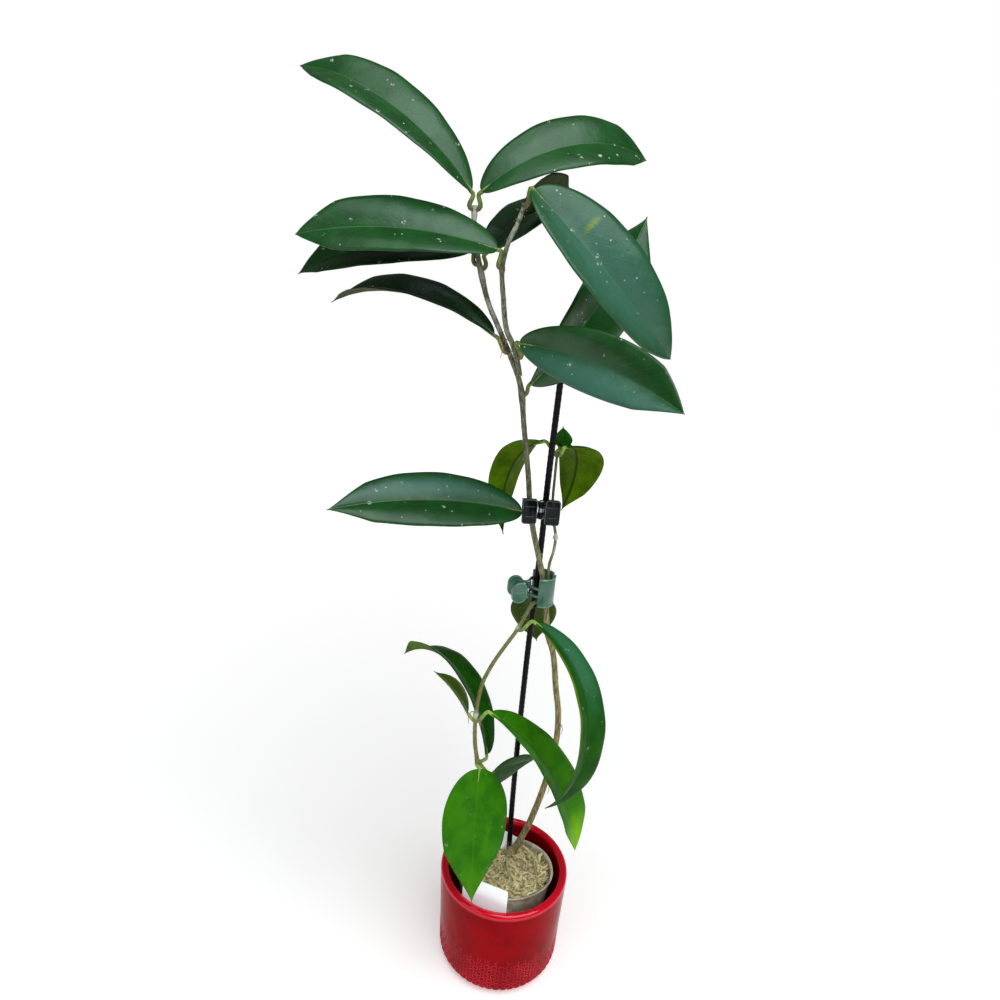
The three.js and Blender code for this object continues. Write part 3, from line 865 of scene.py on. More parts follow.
@dataclass(frozen=True)
class LeafTop(Finish):
    """The waxy upper face of a blade, with its midrib, faint side veins, specks, painted sheen in its pale
    patches and painted shade in its deep patches.
    """

    name: str = "dark leaf"
    face: Colour = srgb(18, 72, 22)
    # deep: the darker tone of random mottling, and the painted shade of deep patches.
    deep: Colour = srgb(8, 50, 8)
    # pale: the teal colour of the painted sheen patches.
    pale: Colour = srgb(56, 98, 80)
    yellow: Colour = srgb(112, 132, 34)
    rib: Colour = srgb(66, 112, 56)
    speck: Colour = srgb(196, 204, 190)
    speck_share: float = 0.7
    roughness: float = 0.21
    specular: float = 0.36
    rib_share: float = 0.22
    cloud_size: float = 0.016
    fine_size: float = 0.0022
    vein_pitch: float = 0.0095
    vein_slant: float = 1.5
    speck_spacing: float = 0.0068
    splash_spacing: float = 0.013
    depth: float = 0.0011

    def paint(self) -> Paint:
        """Makes the material.

        Returns:
            The painted sheet.
        """
        sheet = Paint(self.name, {"Specular IOR Level": self.specular})
        along = sheet.attribute("along")
        across = sheet.attribute("across")
        cloud = sheet.noise(self.cloud_size, 4.0, 0.62)
        fine = sheet.noise(self.fine_size, 3.0, 0.6)
        skin = sheet.mix(cloud.rise(0.36, 0.7) * 0.7, self.face, self.deep)
        # Pale patches paint sheen and deep patches paint shade over the blade; yellow patches are its own
        # streaks.
        colours = {Shade.PAINTED_SHEEN: self.pale, Shade.PAINTED_SHADE: self.deep, Shade.YELLOW: self.yellow}
        for shade, colour in colours.items():
            share = sheet.attribute(shade.value) * (0.7 + 0.6 * sheet.noise(0.006, 3.0, 0.6))
            skin = sheet.mix(share.rise(0.12, 0.95), skin, colour)
        slant = along - abs(across) * self.vein_slant + (fine - 0.5) * 0.0012
        vein = abs(slant % self.vein_pitch - self.vein_pitch / 2).fall(0.0, 0.0008)
        vein = vein * abs(across).rise(0.001, 0.003)
        rib = abs(across).fall(0.0004, 0.0011)
        skin = sheet.mix((vein * 0.07).most(rib * self.rib_share), skin, self.rib)
        splash = sheet.noise(0.0016, 2.0).rise(0.45, 0.6) * sheet.spots(self.splash_spacing, 0.15)
        specks = sheet.spots(self.speck_spacing, 0.11).most(splash)
        specks = specks * cloud.rise(0.46, 0.54) * self.speck_share
        sheet.feed("Base Color", sheet.mix(specks, skin, self.speck))
        sheet.feed("Roughness", self.roughness + 0.14 * cloud + 0.10 * fine + 0.2 * specks)
        relief = cloud * 0.8 + fine * 0.16 - vein * 0.06 - rib * 0.2
        sheet.emboss(relief, self.depth, 0.45)
        return sheet


@dataclass(frozen=True)
class LeafUnder(Finish):
    """The dull olive underside of a blade with its raised midrib."""

    name: str = "leaf underside"
    face: Colour = srgb(80, 112, 0)
    deep: Colour = srgb(60, 88, 0)
    rib: Colour = srgb(36, 50, 4)
    cloud_size: float = 0.014
    fine_size: float = 0.0016
    vein_pitch: float = 0.0085
    vein_slant: float = 1.3
    depth: float = 0.0008

    def paint(self) -> Paint:
        """Makes the material.

        Returns:
            The painted sheet.
        """
        sheet = Paint(self.name, {"Specular IOR Level": 0.05})
        along = sheet.attribute("along")
        across = sheet.attribute("across")
        cloud = sheet.noise(self.cloud_size, 4.0, 0.6)
        fine = sheet.noise(self.fine_size, 3.0, 0.6)
        skin = sheet.mix(cloud.rise(0.36, 0.66), self.face, self.deep)
        slant = along - abs(across) * self.vein_slant + (fine - 0.5) * 0.0012
        vein = abs(slant % self.vein_pitch - self.vein_pitch / 2).fall(0.0, 0.0007)
        rib = abs(across).fall(0.0008, 0.0016)
        sheet.feed("Base Color", sheet.mix((vein * 0.25).most(rib * 0.8), skin, self.rib))
        sheet.feed("Roughness", 0.48 + 0.2 * fine)
        sheet.emboss(cloud * 0.6 + fine * 0.3 + vein * 0.25, self.depth, 0.5)
        return sheet


@dataclass(frozen=True)
class Stalk(Finish):
    """A leaf stalk: olive, corky at its foot, with a soft gloss."""

    name: str = "leaf stalk"
    skin: Colour = srgb(112, 128, 54)
    cork: Colour = srgb(96, 90, 58)
    tint: Colour = srgb(72, 98, 30)
    cloud_size: float = 0.0035
    grain: float = 0.0009
    depth: float = 0.0004

    def paint(self) -> Paint:
        """Makes the material.

        Returns:
            The painted sheet.
        """
        sheet = Paint(self.name, {"Specular IOR Level": 0.45})
        cloud = sheet.noise(self.cloud_size, 4.0, 0.6)
        skin = sheet.mix(cloud.rise(0.38, 0.62), self.skin, self.tint)
        foot = sheet.attribute("cork") + (cloud - 0.5) * 0.6
        sheet.feed("Base Color", sheet.mix(foot.rise(0.25, 0.8), skin, self.cork))
        sheet.feed("Roughness", 0.42 + 0.25 * cloud)
        sheet.emboss(sheet.noise(self.grain, 3.0, 0.6), self.depth, 0.6)
        return sheet


@dataclass(frozen=True)
class Backdrop(Finish):
    """The plain pale floor."""

    tone: Colour = (0.97, 0.89, 0.87, 1.0)
    shade: Colour = (0.95, 0.87, 0.85, 1.0)
    near_glow: Colour = (0.36, 0.36, 0.36, 1.0)
    far_glow: Colour = (0.85, 0.85, 0.85, 1.0)
    glow_from: float = 0.1
    glow_reach: float = 1.8
    cloud_size: float = 0.3

    def paint(self) -> Paint:
        """Makes the material.

        Returns:
            The painted sheet.
        """
        sheet = Paint("floor", {"Specular IOR Level": 0.0, "Emission Strength": 1.0})
        cloud = sheet.noise(self.cloud_size, 2.0)
        far = sheet.add("ShaderNodeVectorMath", {"operation": "LENGTH"}, {0: sheet.place()}, "Value")
        sheet.feed("Base Color", sheet.mix(cloud, self.tone, self.shade))
        outward = far.rise(self.glow_from, self.glow_reach)
        sheet.feed("Emission Color", sheet.mix(outward, self.near_glow, self.far_glow))
        sheet.feed("Roughness", 0.8 + 0.1 * cloud)
        return sheet


# The third colour of a leaf finish is its painted sheen, worn by its pale patches.
DARK_TOP = LeafTop()
SHADED_TOP = LeafTop(
    "shaded leaf", srgb(12, 50, 12), srgb(5, 32, 3), rib=srgb(34, 74, 30), speck_share=0.4, specular=0.2
)
MID_TOP = LeafTop(
    "mid leaf", srgb(26, 84, 3), srgb(12, 58, 0), srgb(44, 102, 62), rib=srgb(66, 112, 30),
    speck_share=0.25, roughness=0.38, specular=0.1,
)
FRESH_TOP = LeafTop(
    "fresh leaf", srgb(54, 122, 0), srgb(28, 92, 0), srgb(92, 148, 44), srgb(128, 184, 6),
    rib=srgb(84, 140, 20), speck_share=0.3, roughness=0.38, specular=0.1,
)
OLIVE_TOP = LeafTop(
    "olive leaf", srgb(58, 80, 12), srgb(40, 62, 6), srgb(84, 104, 40), rib=srgb(84, 108, 44),
    speck_share=0.0, specular=0.1,
)
UNDER = LeafUnder()
DARK_UNDER = LeafUnder("dark underside", srgb(50, 64, 16), srgb(34, 46, 10), srgb(28, 38, 8))
STALK = Stalk()
FRESH_STALK = Stalk("fresh stalk", srgb(156, 186, 84), srgb(112, 120, 62), srgb(122, 156, 56))


@dataclass(frozen=True)
class Patch:
    """A soft patch on a blade, placed by shares of its length and half width."""

    shade: Shade
    along: float
    across: float
    long: float
    wide: float
    strength: float = 1.0

    def amount(self, along: Array, across: Array) -> Array:
        """How strong the patch is at each point."""
        far = ((along - self.along) / self.long) ** 2 + ((across - self.across) / self.wide) ** 2
        return self.strength * np.exp(-far)


def turn(vector: Array, axis: Array, angle: float) -> Array:
    """Turns a vector about a unit axis by an angle in radians."""
    cosine, sine = math.cos(angle), math.sin(angle)
    return vector * cosine + np.cross(axis, vector) * sine + axis * (axis @ vector) * (1 - cosine)


@dataclass(frozen=True)
class Leaf:
    """A waxy blade on its stalk. Places and lengths are in millimetres, turns in degrees.

    The blade starts at base and heads round from +X and up by heading and rise. It is rolled about
    its midrib, and bends sideways by sweep, down by droop and round by twist over its length.
    """

    base: Point
    stalk: Point
    heading: float
    rise: float
    roll: float
    sweep: float
    droop: float
    twist: float
    length: float
    width: float
    fold: float
    widest: float
    blunt: float
    top: LeafTop = DARK_TOP
    patches: tuple[Patch, ...] = ()
    wave: float = 0.28
    drip: float = 0.45
    drip_share: float = 0.2
    STEPS: ClassVar[int] = 96
    ROWS: ClassVar[int] = 66
    HALF_COLUMNS: ClassVar[int] = 13
    THICKNESS: ClassVar[float] = 1.2
    TIP_HALF_WIDTH: ClassVar[float] = 0.45
    STALK_RADIUS: ClassVar[float] = 1.5
    STALK_POINTS: ClassVar[int] = 22
    WAVE_LENGTH: ClassVar[float] = 34.0
    CREASE: ClassVar[float] = 0.006
    CUP: ClassVar[float] = 0.055
    DENT: ClassVar[float] = 0.12
    THIN_EDGE: ClassVar[float] = 0.62
    GROOVE: ClassVar[tuple[float, float]] = (0.34, 1.1)
    RIDGE: ClassVar[tuple[float, float]] = (0.75, 1.25)
    LAST_DARK: ClassVar[int] = 11

    def midrib(self) -> tuple[Array, Array, Array, Array]:
        """Walks along the midrib.

        Returns:
            The points, the directions, the right-hand sides and the upper sides.
        """
        heading, rise = math.radians(self.heading), math.radians(self.rise)
        ahead = np.array(
            [math.cos(heading) * math.cos(rise), math.sin(heading) * math.cos(rise), math.sin(rise)]
        )
        side = np.cross(ahead, [0.0, 0.0, 1.0])
        side = turn(side / np.linalg.norm(side), ahead, -math.radians(self.roll))
        upper = np.cross(side, ahead)
        droop, sweep, twist = (
            math.radians(angle) / self.STEPS for angle in (-self.droop, -self.sweep, self.twist)
        )
        point = np.array(self.base, float)
        rows = [(point, ahead, side, upper)]
        for _ in range(self.STEPS):
            middle = turn(turn(ahead, side, droop / 2), upper, sweep / 2)
            point = point + middle * self.length / self.STEPS
            ahead, upper = turn(ahead, side, droop), turn(upper, side, droop)
            ahead, side = turn(ahead, upper, sweep), turn(side, upper, sweep)
            side = turn(side, ahead, twist)
            upper = np.cross(side, ahead)
            rows.append((point, ahead, side, upper))
        return tuple(np.array(part) for part in zip(*rows))

    def outline(self, along: Array) -> Array:
        """Half the blade's width, drawn out into a drip tip.

        Args:
            along: Shares of the blade's length.

        Returns:
            Half the width at each, in millimetres.
        """
        tail = self.blunt * (1 - self.widest) / self.widest
        share = (along / self.widest) ** self.blunt * ((1 - along) / (1 - self.widest)) ** tail
        drawn = np.clip((1 - along) / self.drip_share, 0, 1) ** self.drip
        return np.maximum(self.width / 2 * share * drawn, self.TIP_HALF_WIDTH)

    def add_blade(self, shell: Shell, number: int) -> None:
        """Adds the blade: a rounded V with a grooved midrib, thin margins and slow waves.

        Args:
            shell: The shell that it goes into.
            number: The leaf's number, which sets its waves.
        """
        along = 0.5 - 0.5 * np.cos(np.linspace(0, math.pi, self.ROWS))
        along = 0.55 * along + 0.45 * np.linspace(0, 1, self.ROWS)
        steps = np.linspace(0, 1, self.STEPS + 1)
        point, _, side, upper = (
            np.stack([np.interp(along, steps, part[:, axis]) for axis in range(3)], 1)
            for part in self.midrib()
        )
        half = self.outline(along)[:, None]
        spread = np.linspace(-1, 1, 2 * self.HALF_COLUMNS + 1)
        share = (0.55 * spread + 0.45 * spread ** 3)[None, :]
        reach = np.abs(share)
        across = half * share
        place = along[:, None]
        bent = np.sqrt(reach ** 2 + self.CREASE) - math.sqrt(self.CREASE)
        height = half * bent * math.sin(math.radians(self.fold))
        height = height + half * self.CUP * np.sin(math.pi * reach ** 1.2)
        phase = number * 1.7
        beats = self.length / self.WAVE_LENGTH
        ripple = np.sin(2 * math.pi * beats * place + phase + 1.9 * (share > 0))
        height = height + self.wave * reach ** 2 * ripple * np.sin(math.pi * place) ** 0.5
        dents = np.sin(across * 0.31 + place * 23 + phase) * np.sin(across * 0.17 - place * 31 + 2 * phase)
        height = height + self.DENT * dents * np.minimum(half / 8, 1)
        narrow = np.minimum(half / 5, 1)
        thick = self.THICKNESS * (1 - self.THIN_EDGE * reach ** 3) * (0.45 + 0.55 * narrow)
        groove = self.GROOVE[0] * np.exp(-(across / self.GROOVE[1]) ** 2) * narrow
        ridge = self.RIDGE[0] * np.exp(-(across / self.RIDGE[1]) ** 2) * (1 - 0.8 * place) * narrow
        flat = point[:, None] + side[:, None] * (across * math.cos(math.radians(self.fold)))[..., None]
        top = flat + upper[:, None] * (height + thick / 2 - groove)[..., None]
        under = flat + upper[:, None] * (height - thick / 2 - ridge)[..., None]
        grid = np.concatenate([top, under[:, ::-1]], 1) * MM
        columns = len(spread)
        both = np.concatenate([across, across[:, ::-1]], 1)
        shares = np.concatenate([share, share[:, ::-1]], 1)
        places = np.broadcast_to(place, both.shape)
        stored = {"along": places * self.length * MM, "across": both * MM, "cork": np.zeros(both.shape)}
        for shade in Shade:
            stored[shade.value] = sum(
                (patch.amount(places, shares) for patch in self.patches if patch.shade is shade),
                np.zeros(both.shape),
            )
        skins = [0] * columns + [1] * (columns - 1) + [0]
        shell.sheet(grid, skins, stored)

    def add_stalk(self, shell: Shell, stems: Array) -> None:
        """Adds the stalk, from inside the nearest stem into the underside of the midrib.

        Args:
            shell: The shell that it goes into.
            stems: Points along the middle of every stem, in millimetres.
        """
        point, ahead, _, upper = self.midrib()
        start, base = np.array(self.stalk, float), point[0]
        before = base - ahead[0] * 0.25 * np.linalg.norm(base - start)
        drop = (start - before) / (np.linalg.norm(start - before) + 1e-9)
        root = stems[np.argmin(np.linalg.norm(stems - start - drop * 1.5, axis=1))]
        into = self.STEPS // 8
        corners = [root, 0.75 * start + 0.25 * root, start - drop * 1.5, before]
        corners += [base - upper[0] * 0.2, point[into] - upper[into] * 0.5]
        path = smooth_path(corners, self.STALK_POINTS)
        share = np.linspace(0, 1, self.STALK_POINTS)
        swell = 1 + 0.30 * np.exp(-(share / 0.16) ** 2)
        radii = self.STALK_RADIUS * (1.02 - 0.68 * np.clip(share - 0.45, 0, 1) / 0.55) * swell
        cork = np.exp(-(share / 0.22) ** 2)
        shell.tube(path * MM, radii * MM, 12, 2, {"cork": cork})

    def build(self, number: int, stems: Array) -> Piece:
        """Builds the leaf.

        Args:
            number: The leaf's number.
            stems: Points along the middle of every stem, in millimetres.

        Returns:
            The piece.
        """
        shell = Shell()
        self.add_blade(shell, number)
        self.add_stalk(shell, stems)
        old = number <= self.LAST_DARK
        under, stalk = (DARK_UNDER, STALK) if old else (UNDER, FRESH_STALK)
        materials = [finish.material() for finish in (self.top, under, stalk)]
        piece = shell.piece(f"waxy_leaf_{number:02d}", materials)
        return settle(piece, [f"leaf_{number:02d}"])


# Pale patches are painted sheen and deep patches painted shade; yellow patches are the blades' own streaks.
PAINTED_SHEEN, PAINTED_SHADE, YELLOW = Shade.PAINTED_SHEEN, Shade.PAINTED_SHADE, Shade.YELLOW
LEAVES = (
    # base, stalk, heading, rise, roll, sweep, droop, twist, length, width, fold, widest, blunt
    Leaf((-66, 5, 688), (-67.3, 5, 678), 194, 51, 42, 13, 65, -21, 163, 47, 14, 0.48, 0.60),
    Leaf((-59, 5, 688), (-58.8, 5, 678), 6, 44, -44, 15, 71, 23, 149, 46, 9, 0.49, 0.55),
    Leaf(
        (-45, -12, 652), (-44, -11, 641), 182, 15, 33, -16, 26, -23, 139, 50, 11, 0.49, 0.47,
        patches=(Patch(PAINTED_SHEEN, 0.5, 0.5, 0.5, 0.5, 0.35),),
    ),
    Leaf((-65, 12, 649), (-62, 10.4, 641), 184, 8, 46, -5, 50, 0, 141, 48, 16, 0.45, 0.61, SHADED_TOP),
    Leaf(
        (-44, 5, 593), (-35.5, 5.5, 581), 174, 33, 17, 16, 66, -5, 153, 40, 22, 0.51, 0.54,
        SHADED_TOP, drip=0.9, drip_share=0.25,
    ),
    Leaf((-54, 13, 648), (-52.6, 11, 640), 49, 36, -14, -14, 39, 1, 127, 40, 15, 0.47, 0.59, SHADED_TOP),
    Leaf(
        (-24, -14, 691), (-27, -12.8, 682), -13, -39, -39, -16, 33, 10, 157, 61, 20, 0.43, 0.53, drip=0.2,
        patches=(Patch(YELLOW, 0.27, -0.45, 0.013, 0.3, 1.0), Patch(PAINTED_SHEEN, 0.5, 0.0, 0.6, 1.2, 0.9)),
    ),
    Leaf((-26, -5, 690), (-27, -5.4, 682), 75.7, -7.7, 60, 35, 0, 15, 72, 36, 6, 0.50, 0.59, SHADED_TOP),
    Leaf((-14.5, 13.5, 557), (-16.2, 13.6, 550), 20, 44, -121, -12, 23, -44, 160, 59, 17, 0.44, 0.65),
    Leaf(
        (-25, -6, 590), (-22.2, 2, 579), -36, 2, -89, 24, -15, -38, 146, 44, 20, 0.51, 0.59,
        patches=(Patch(PAINTED_SHEEN, 0.5, 0.6, 0.6, 0.7, 1.0), Patch(PAINTED_SHADE, 0.5, -0.5, 0.5, 0.4, 0.5)),
    ),
    Leaf(
        (-11.8, 19.5, 452), (-6.9, 22.8, 442.3), 191, 13, 27, -25, 6, -18, 156.5, 51, 6, 0.42, 0.51,
        patches=(Patch(PAINTED_SHEEN, 0.5, 0.5, 0.5, 0.4, 0.9),),
    ),
    Leaf((1, 37, 507), (10.6, 37, 498), 129, -17, -5, 5, 111, 14, 112, 35, 20, 0.39, 0.65, MID_TOP),
    Leaf((18.2, 33.6, 504.6), (15.8, 35.2, 498), 62, 0, -9, -2, 121, 4, 100, 47, 15, 0.41, 0.70, MID_TOP),
    Leaf((17.0, 41.2, 502.5), (12.2, 38.8, 499.6), 100, 75, 0, 0, 0, 0, 17, 16, 12, 0.32, 0.60, MID_TOP),
    Leaf((9, 44, 367), (15.8, 33.4, 358), 102, -52, 167, -26, -30, 5, 69, 42, 6, 0.39, 0.64, OLIVE_TOP),
    Leaf(
        (8, 6, 358), (-3.6, 11.4, 347.5), -40, -7, 1, 30, 121, -2, 185, 30, 18, 0.53, 0.47, MID_TOP,
        patches=(Patch(PAINTED_SHEEN, 0.2, -0.3, 0.3, 0.8, 1.0), Patch(YELLOW, 0.35, 0.95, 0.5, 0.12, 0.8)),
    ),
    Leaf(
        (-24, -20, 284), (-33.8, -18.5, 275), 1, -30, 5, 23, 50, 38, 154, 48, 16, 0.50, 0.54,
        FRESH_TOP, patches=(Patch(YELLOW, 0.97, 0.0, 0.2, 1.5, 0.9),),
    ),
    Leaf(
        (-25, -11, 234), (-30.4, -18.6, 232), 101, 59, -57, 34, 105, -17, 176, 42, 16, 0.55, 0.40,
        MID_TOP, drip=0.9, drip_share=0.22,
    ),
    Leaf((-44, -16, 280), (-40.2, -17, 275), 170, 63, -11, 9, 29, 9, 47, 29, 19, 0.40, 0.67, OLIVE_TOP),
    Leaf(
        (-30.5, -28, 233), (-33, -24.2, 232.6), -94, -62, 34, -10, 7, 13, 112, 60, 2, 0.36, 0.50, FRESH_TOP,
        patches=(Patch(YELLOW, 0.9, 0.0, 0.3, 1.5, 0.3), Patch(PAINTED_SHEEN, 0.5, -0.4, 0.2, 0.1, 0.4)),
        drip=0.4, drip_share=0.4,
    ),
    Leaf((-19, -17, 220), (-29, -21.6, 231), 55, -18, -97, 1, -8, 36, 71, 36, 11, 0.41, 0.63, MID_TOP),
)


@dataclass(frozen=True)
class Band:
    """A soft band round a stem, placed by a share of its length."""

    at: float
    width: float
    amount: float

    def along(self, shares: Array) -> Array:
        """How strong the band is at shares of the length."""
        return self.amount * np.exp(-((shares - self.at) / self.width) ** 2)


@dataclass(frozen=True)
class Stem:
    """One stem's path in millimetres, its radii at foot and tip, its nodes, and how it is coloured."""

    points: tuple[Point, ...]
    radii: tuple[float, float]
    nodes: tuple[tuple[float, float], ...]
    green: tuple[float, float] = (0.0, 0.0)
    scars: tuple[Band, ...] = ()
    spacing: float = 1.3
    NODE_LENGTH: ClassVar[float] = 0.012
    NODE_SCAR: ClassVar[float] = 0.9

    def laid(self) -> tuple[Array, dict[str, Array]]:
        """Lays the stem out.

        Returns:
            The path in metres, and the thickness, greenness and scars at each point.
        """
        rough = np.diff(np.array(self.points, float), axis=0)
        count = int(np.linalg.norm(rough, axis=1).sum() / self.spacing)
        path = smooth_path(self.points, count)
        share = np.linspace(0, 1, count)
        foot, tip = self.radii
        knots = (Band(at, self.NODE_LENGTH, amount) for at, amount in self.nodes)
        swell = sum((knot.along(share) for knot in knots), 0 * share)
        scar = sum((band.along(share) for band in self.scars), 0 * share)
        scar = scar + self.NODE_SCAR * np.clip(swell, 0, 0.5)
        values = {
            "thick": (foot + (tip - foot) * share) * (1 + swell) * MM,
            "green": self.green[0] + (self.green[1] - self.green[0]) * share,
            "scar": np.minimum(scar, 1.0),
        }
        return path * MM, values


def strung(paths: Sequence[tuple[Array, dict[str, Array]]], name: str) -> Piece:
    """Makes a mesh of edges along paths, for a tree to start from.

    Args:
        paths: Each path's points, and the numbers stored on them by name.
        name: The object's name.

    Returns:
        The object.
    """
    points, edges, start = [], [], 0
    stored: dict[str, list[Array]] = {}
    for path, values in paths:
        points.append(path)
        edges += [(start + i, start + i + 1) for i in range(len(path) - 1)]
        start += len(path)
        for label, numbers in values.items():
            stored.setdefault(label, []).append(numbers)
    mesh = bpy.data.meshes.new(name)
    mesh.from_pydata(np.concatenate(points).tolist(), edges, [])
    for label, parts in stored.items():
        mesh.attributes.new(label, "FLOAT", "POINT").data.foreach_set("value", np.concatenate(parts))
    return placed_mesh(mesh, name)


def tube_tree(material: Material, sides: int, relief: float, grain: float) -> ShapeTree:
    """A tree that turns edges into a tube as thick as its "thick" number, with a rough skin.

    Args:
        material: What it wears.
        sides: The number of sides.
        relief: How far the skin stands in and out, in metres.
        grain: The width of its lumps in metres.

    Returns:
        The tree.
    """
    tree = ShapeTree("tube along a path", {"Sides": sides, "Relief": relief, "Grain": grain})
    curve = tree.add("GeometryNodeMeshToCurve", sockets={0: tree.given()})
    ring = tree.circle(1.0, tree.given("Sides"))
    swept = {"Curve": curve, "Profile Curve": ring, "Scale": tree.named("thick"), "Fill Caps": True}
    tube = tree.add("GeometryNodeCurveToMesh", sockets=swept)
    lumps = tree.add("ShaderNodeTexNoise", sockets={"Scale": 1.0 / tree.given("Grain"), "Detail": 2.0})
    outward = tree.add("GeometryNodeInputNormal")
    offset = tree.scaled(outward, (lumps - 0.5) * 2.0 * tree.given("Relief"))
    rough = tree.add("GeometryNodeSetPosition", sockets={"Geometry": tube, "Offset": offset})
    return tree.close(rough, material)


@dataclass(frozen=True)
class Hairs:
    """Strands that a tree scatters over a surface. Sizes are in metres."""

    density: float
    length: float
    width: float
    lean: tuple[float, float]
    bend: float
    seed: int = SEED
    sides: int = 3
    joints: int = 5
    curl: float = 0.8
    TAPER: ClassVar[float] = 0.7
    SIZES: ClassVar[tuple[float, float]] = (0.5, 1.4)

    def tree(self, material: Material) -> ShapeTree:
        """The tree, which keeps only the strands.

        Args:
            material: What they wear.

        Returns:
            The tree.
        """
        sizes = {"Density": self.density, "Length": self.length, "Width": self.width, "Bend": self.bend}
        tree = ShapeTree("strands on a surface", sizes)
        density = tree.given("Density") * tree.named("hairy")
        scattered = {"Mesh": tree.given(), "Density": density, "Seed": self.seed}
        kind = {"distribute_method": "RANDOM"}
        points = tree.add("GeometryNodeDistributePointsOnFaces", kind, scattered)
        upright = Link(tree, points.socket.node.outputs["Rotation"])
        shaded = tree.stored(points, "shade", tree.random(0.0, 1.0, self.seed + 1))
        line = tree.add("GeometryNodeCurvePrimitiveLine", sockets={"End": (0.0, 0.0, 1.0)})
        jointed = tree.add("GeometryNodeResampleCurve", sockets={"Curve": line, "Count": self.joints})
        ring = tree.circle(1.0, self.sides)
        along = tree.add("GeometryNodeSplineParameter")
        taper = tree.given("Width") / tree.given("Length") * (1.0 - along * self.TAPER)
        strand = tree.add(
            "GeometryNodeCurveToMesh",
            sockets={"Curve": jointed, "Profile Curve": ring, "Scale": taper, "Fill Caps": False},
        )
        lean = tree.vector(
            tree.random(*self.lean, self.seed + 2), 0.0, tree.random(0.0, math.tau, self.seed + 4)
        )
        leant = tree.add("FunctionNodeEulerToRotation", sockets={"Euler": lean})
        way = tree.add("FunctionNodeRotateRotation", {"rotation_space": "LOCAL"}, {0: upright, 1: leant})
        size = tree.given("Length") * tree.random(*self.SIZES, self.seed + 5)
        placed = tree.add(
            "GeometryNodeInstanceOnPoints",
            sockets={"Points": shaded, "Instance": strand, "Rotation": way, "Scale": size},
        )
        real = tree.add("GeometryNodeRealizeInstances", sockets={"Geometry": placed})
        return tree.close(tree.shaken(real, self.length * self.curl, tree.given("Bend")), material)


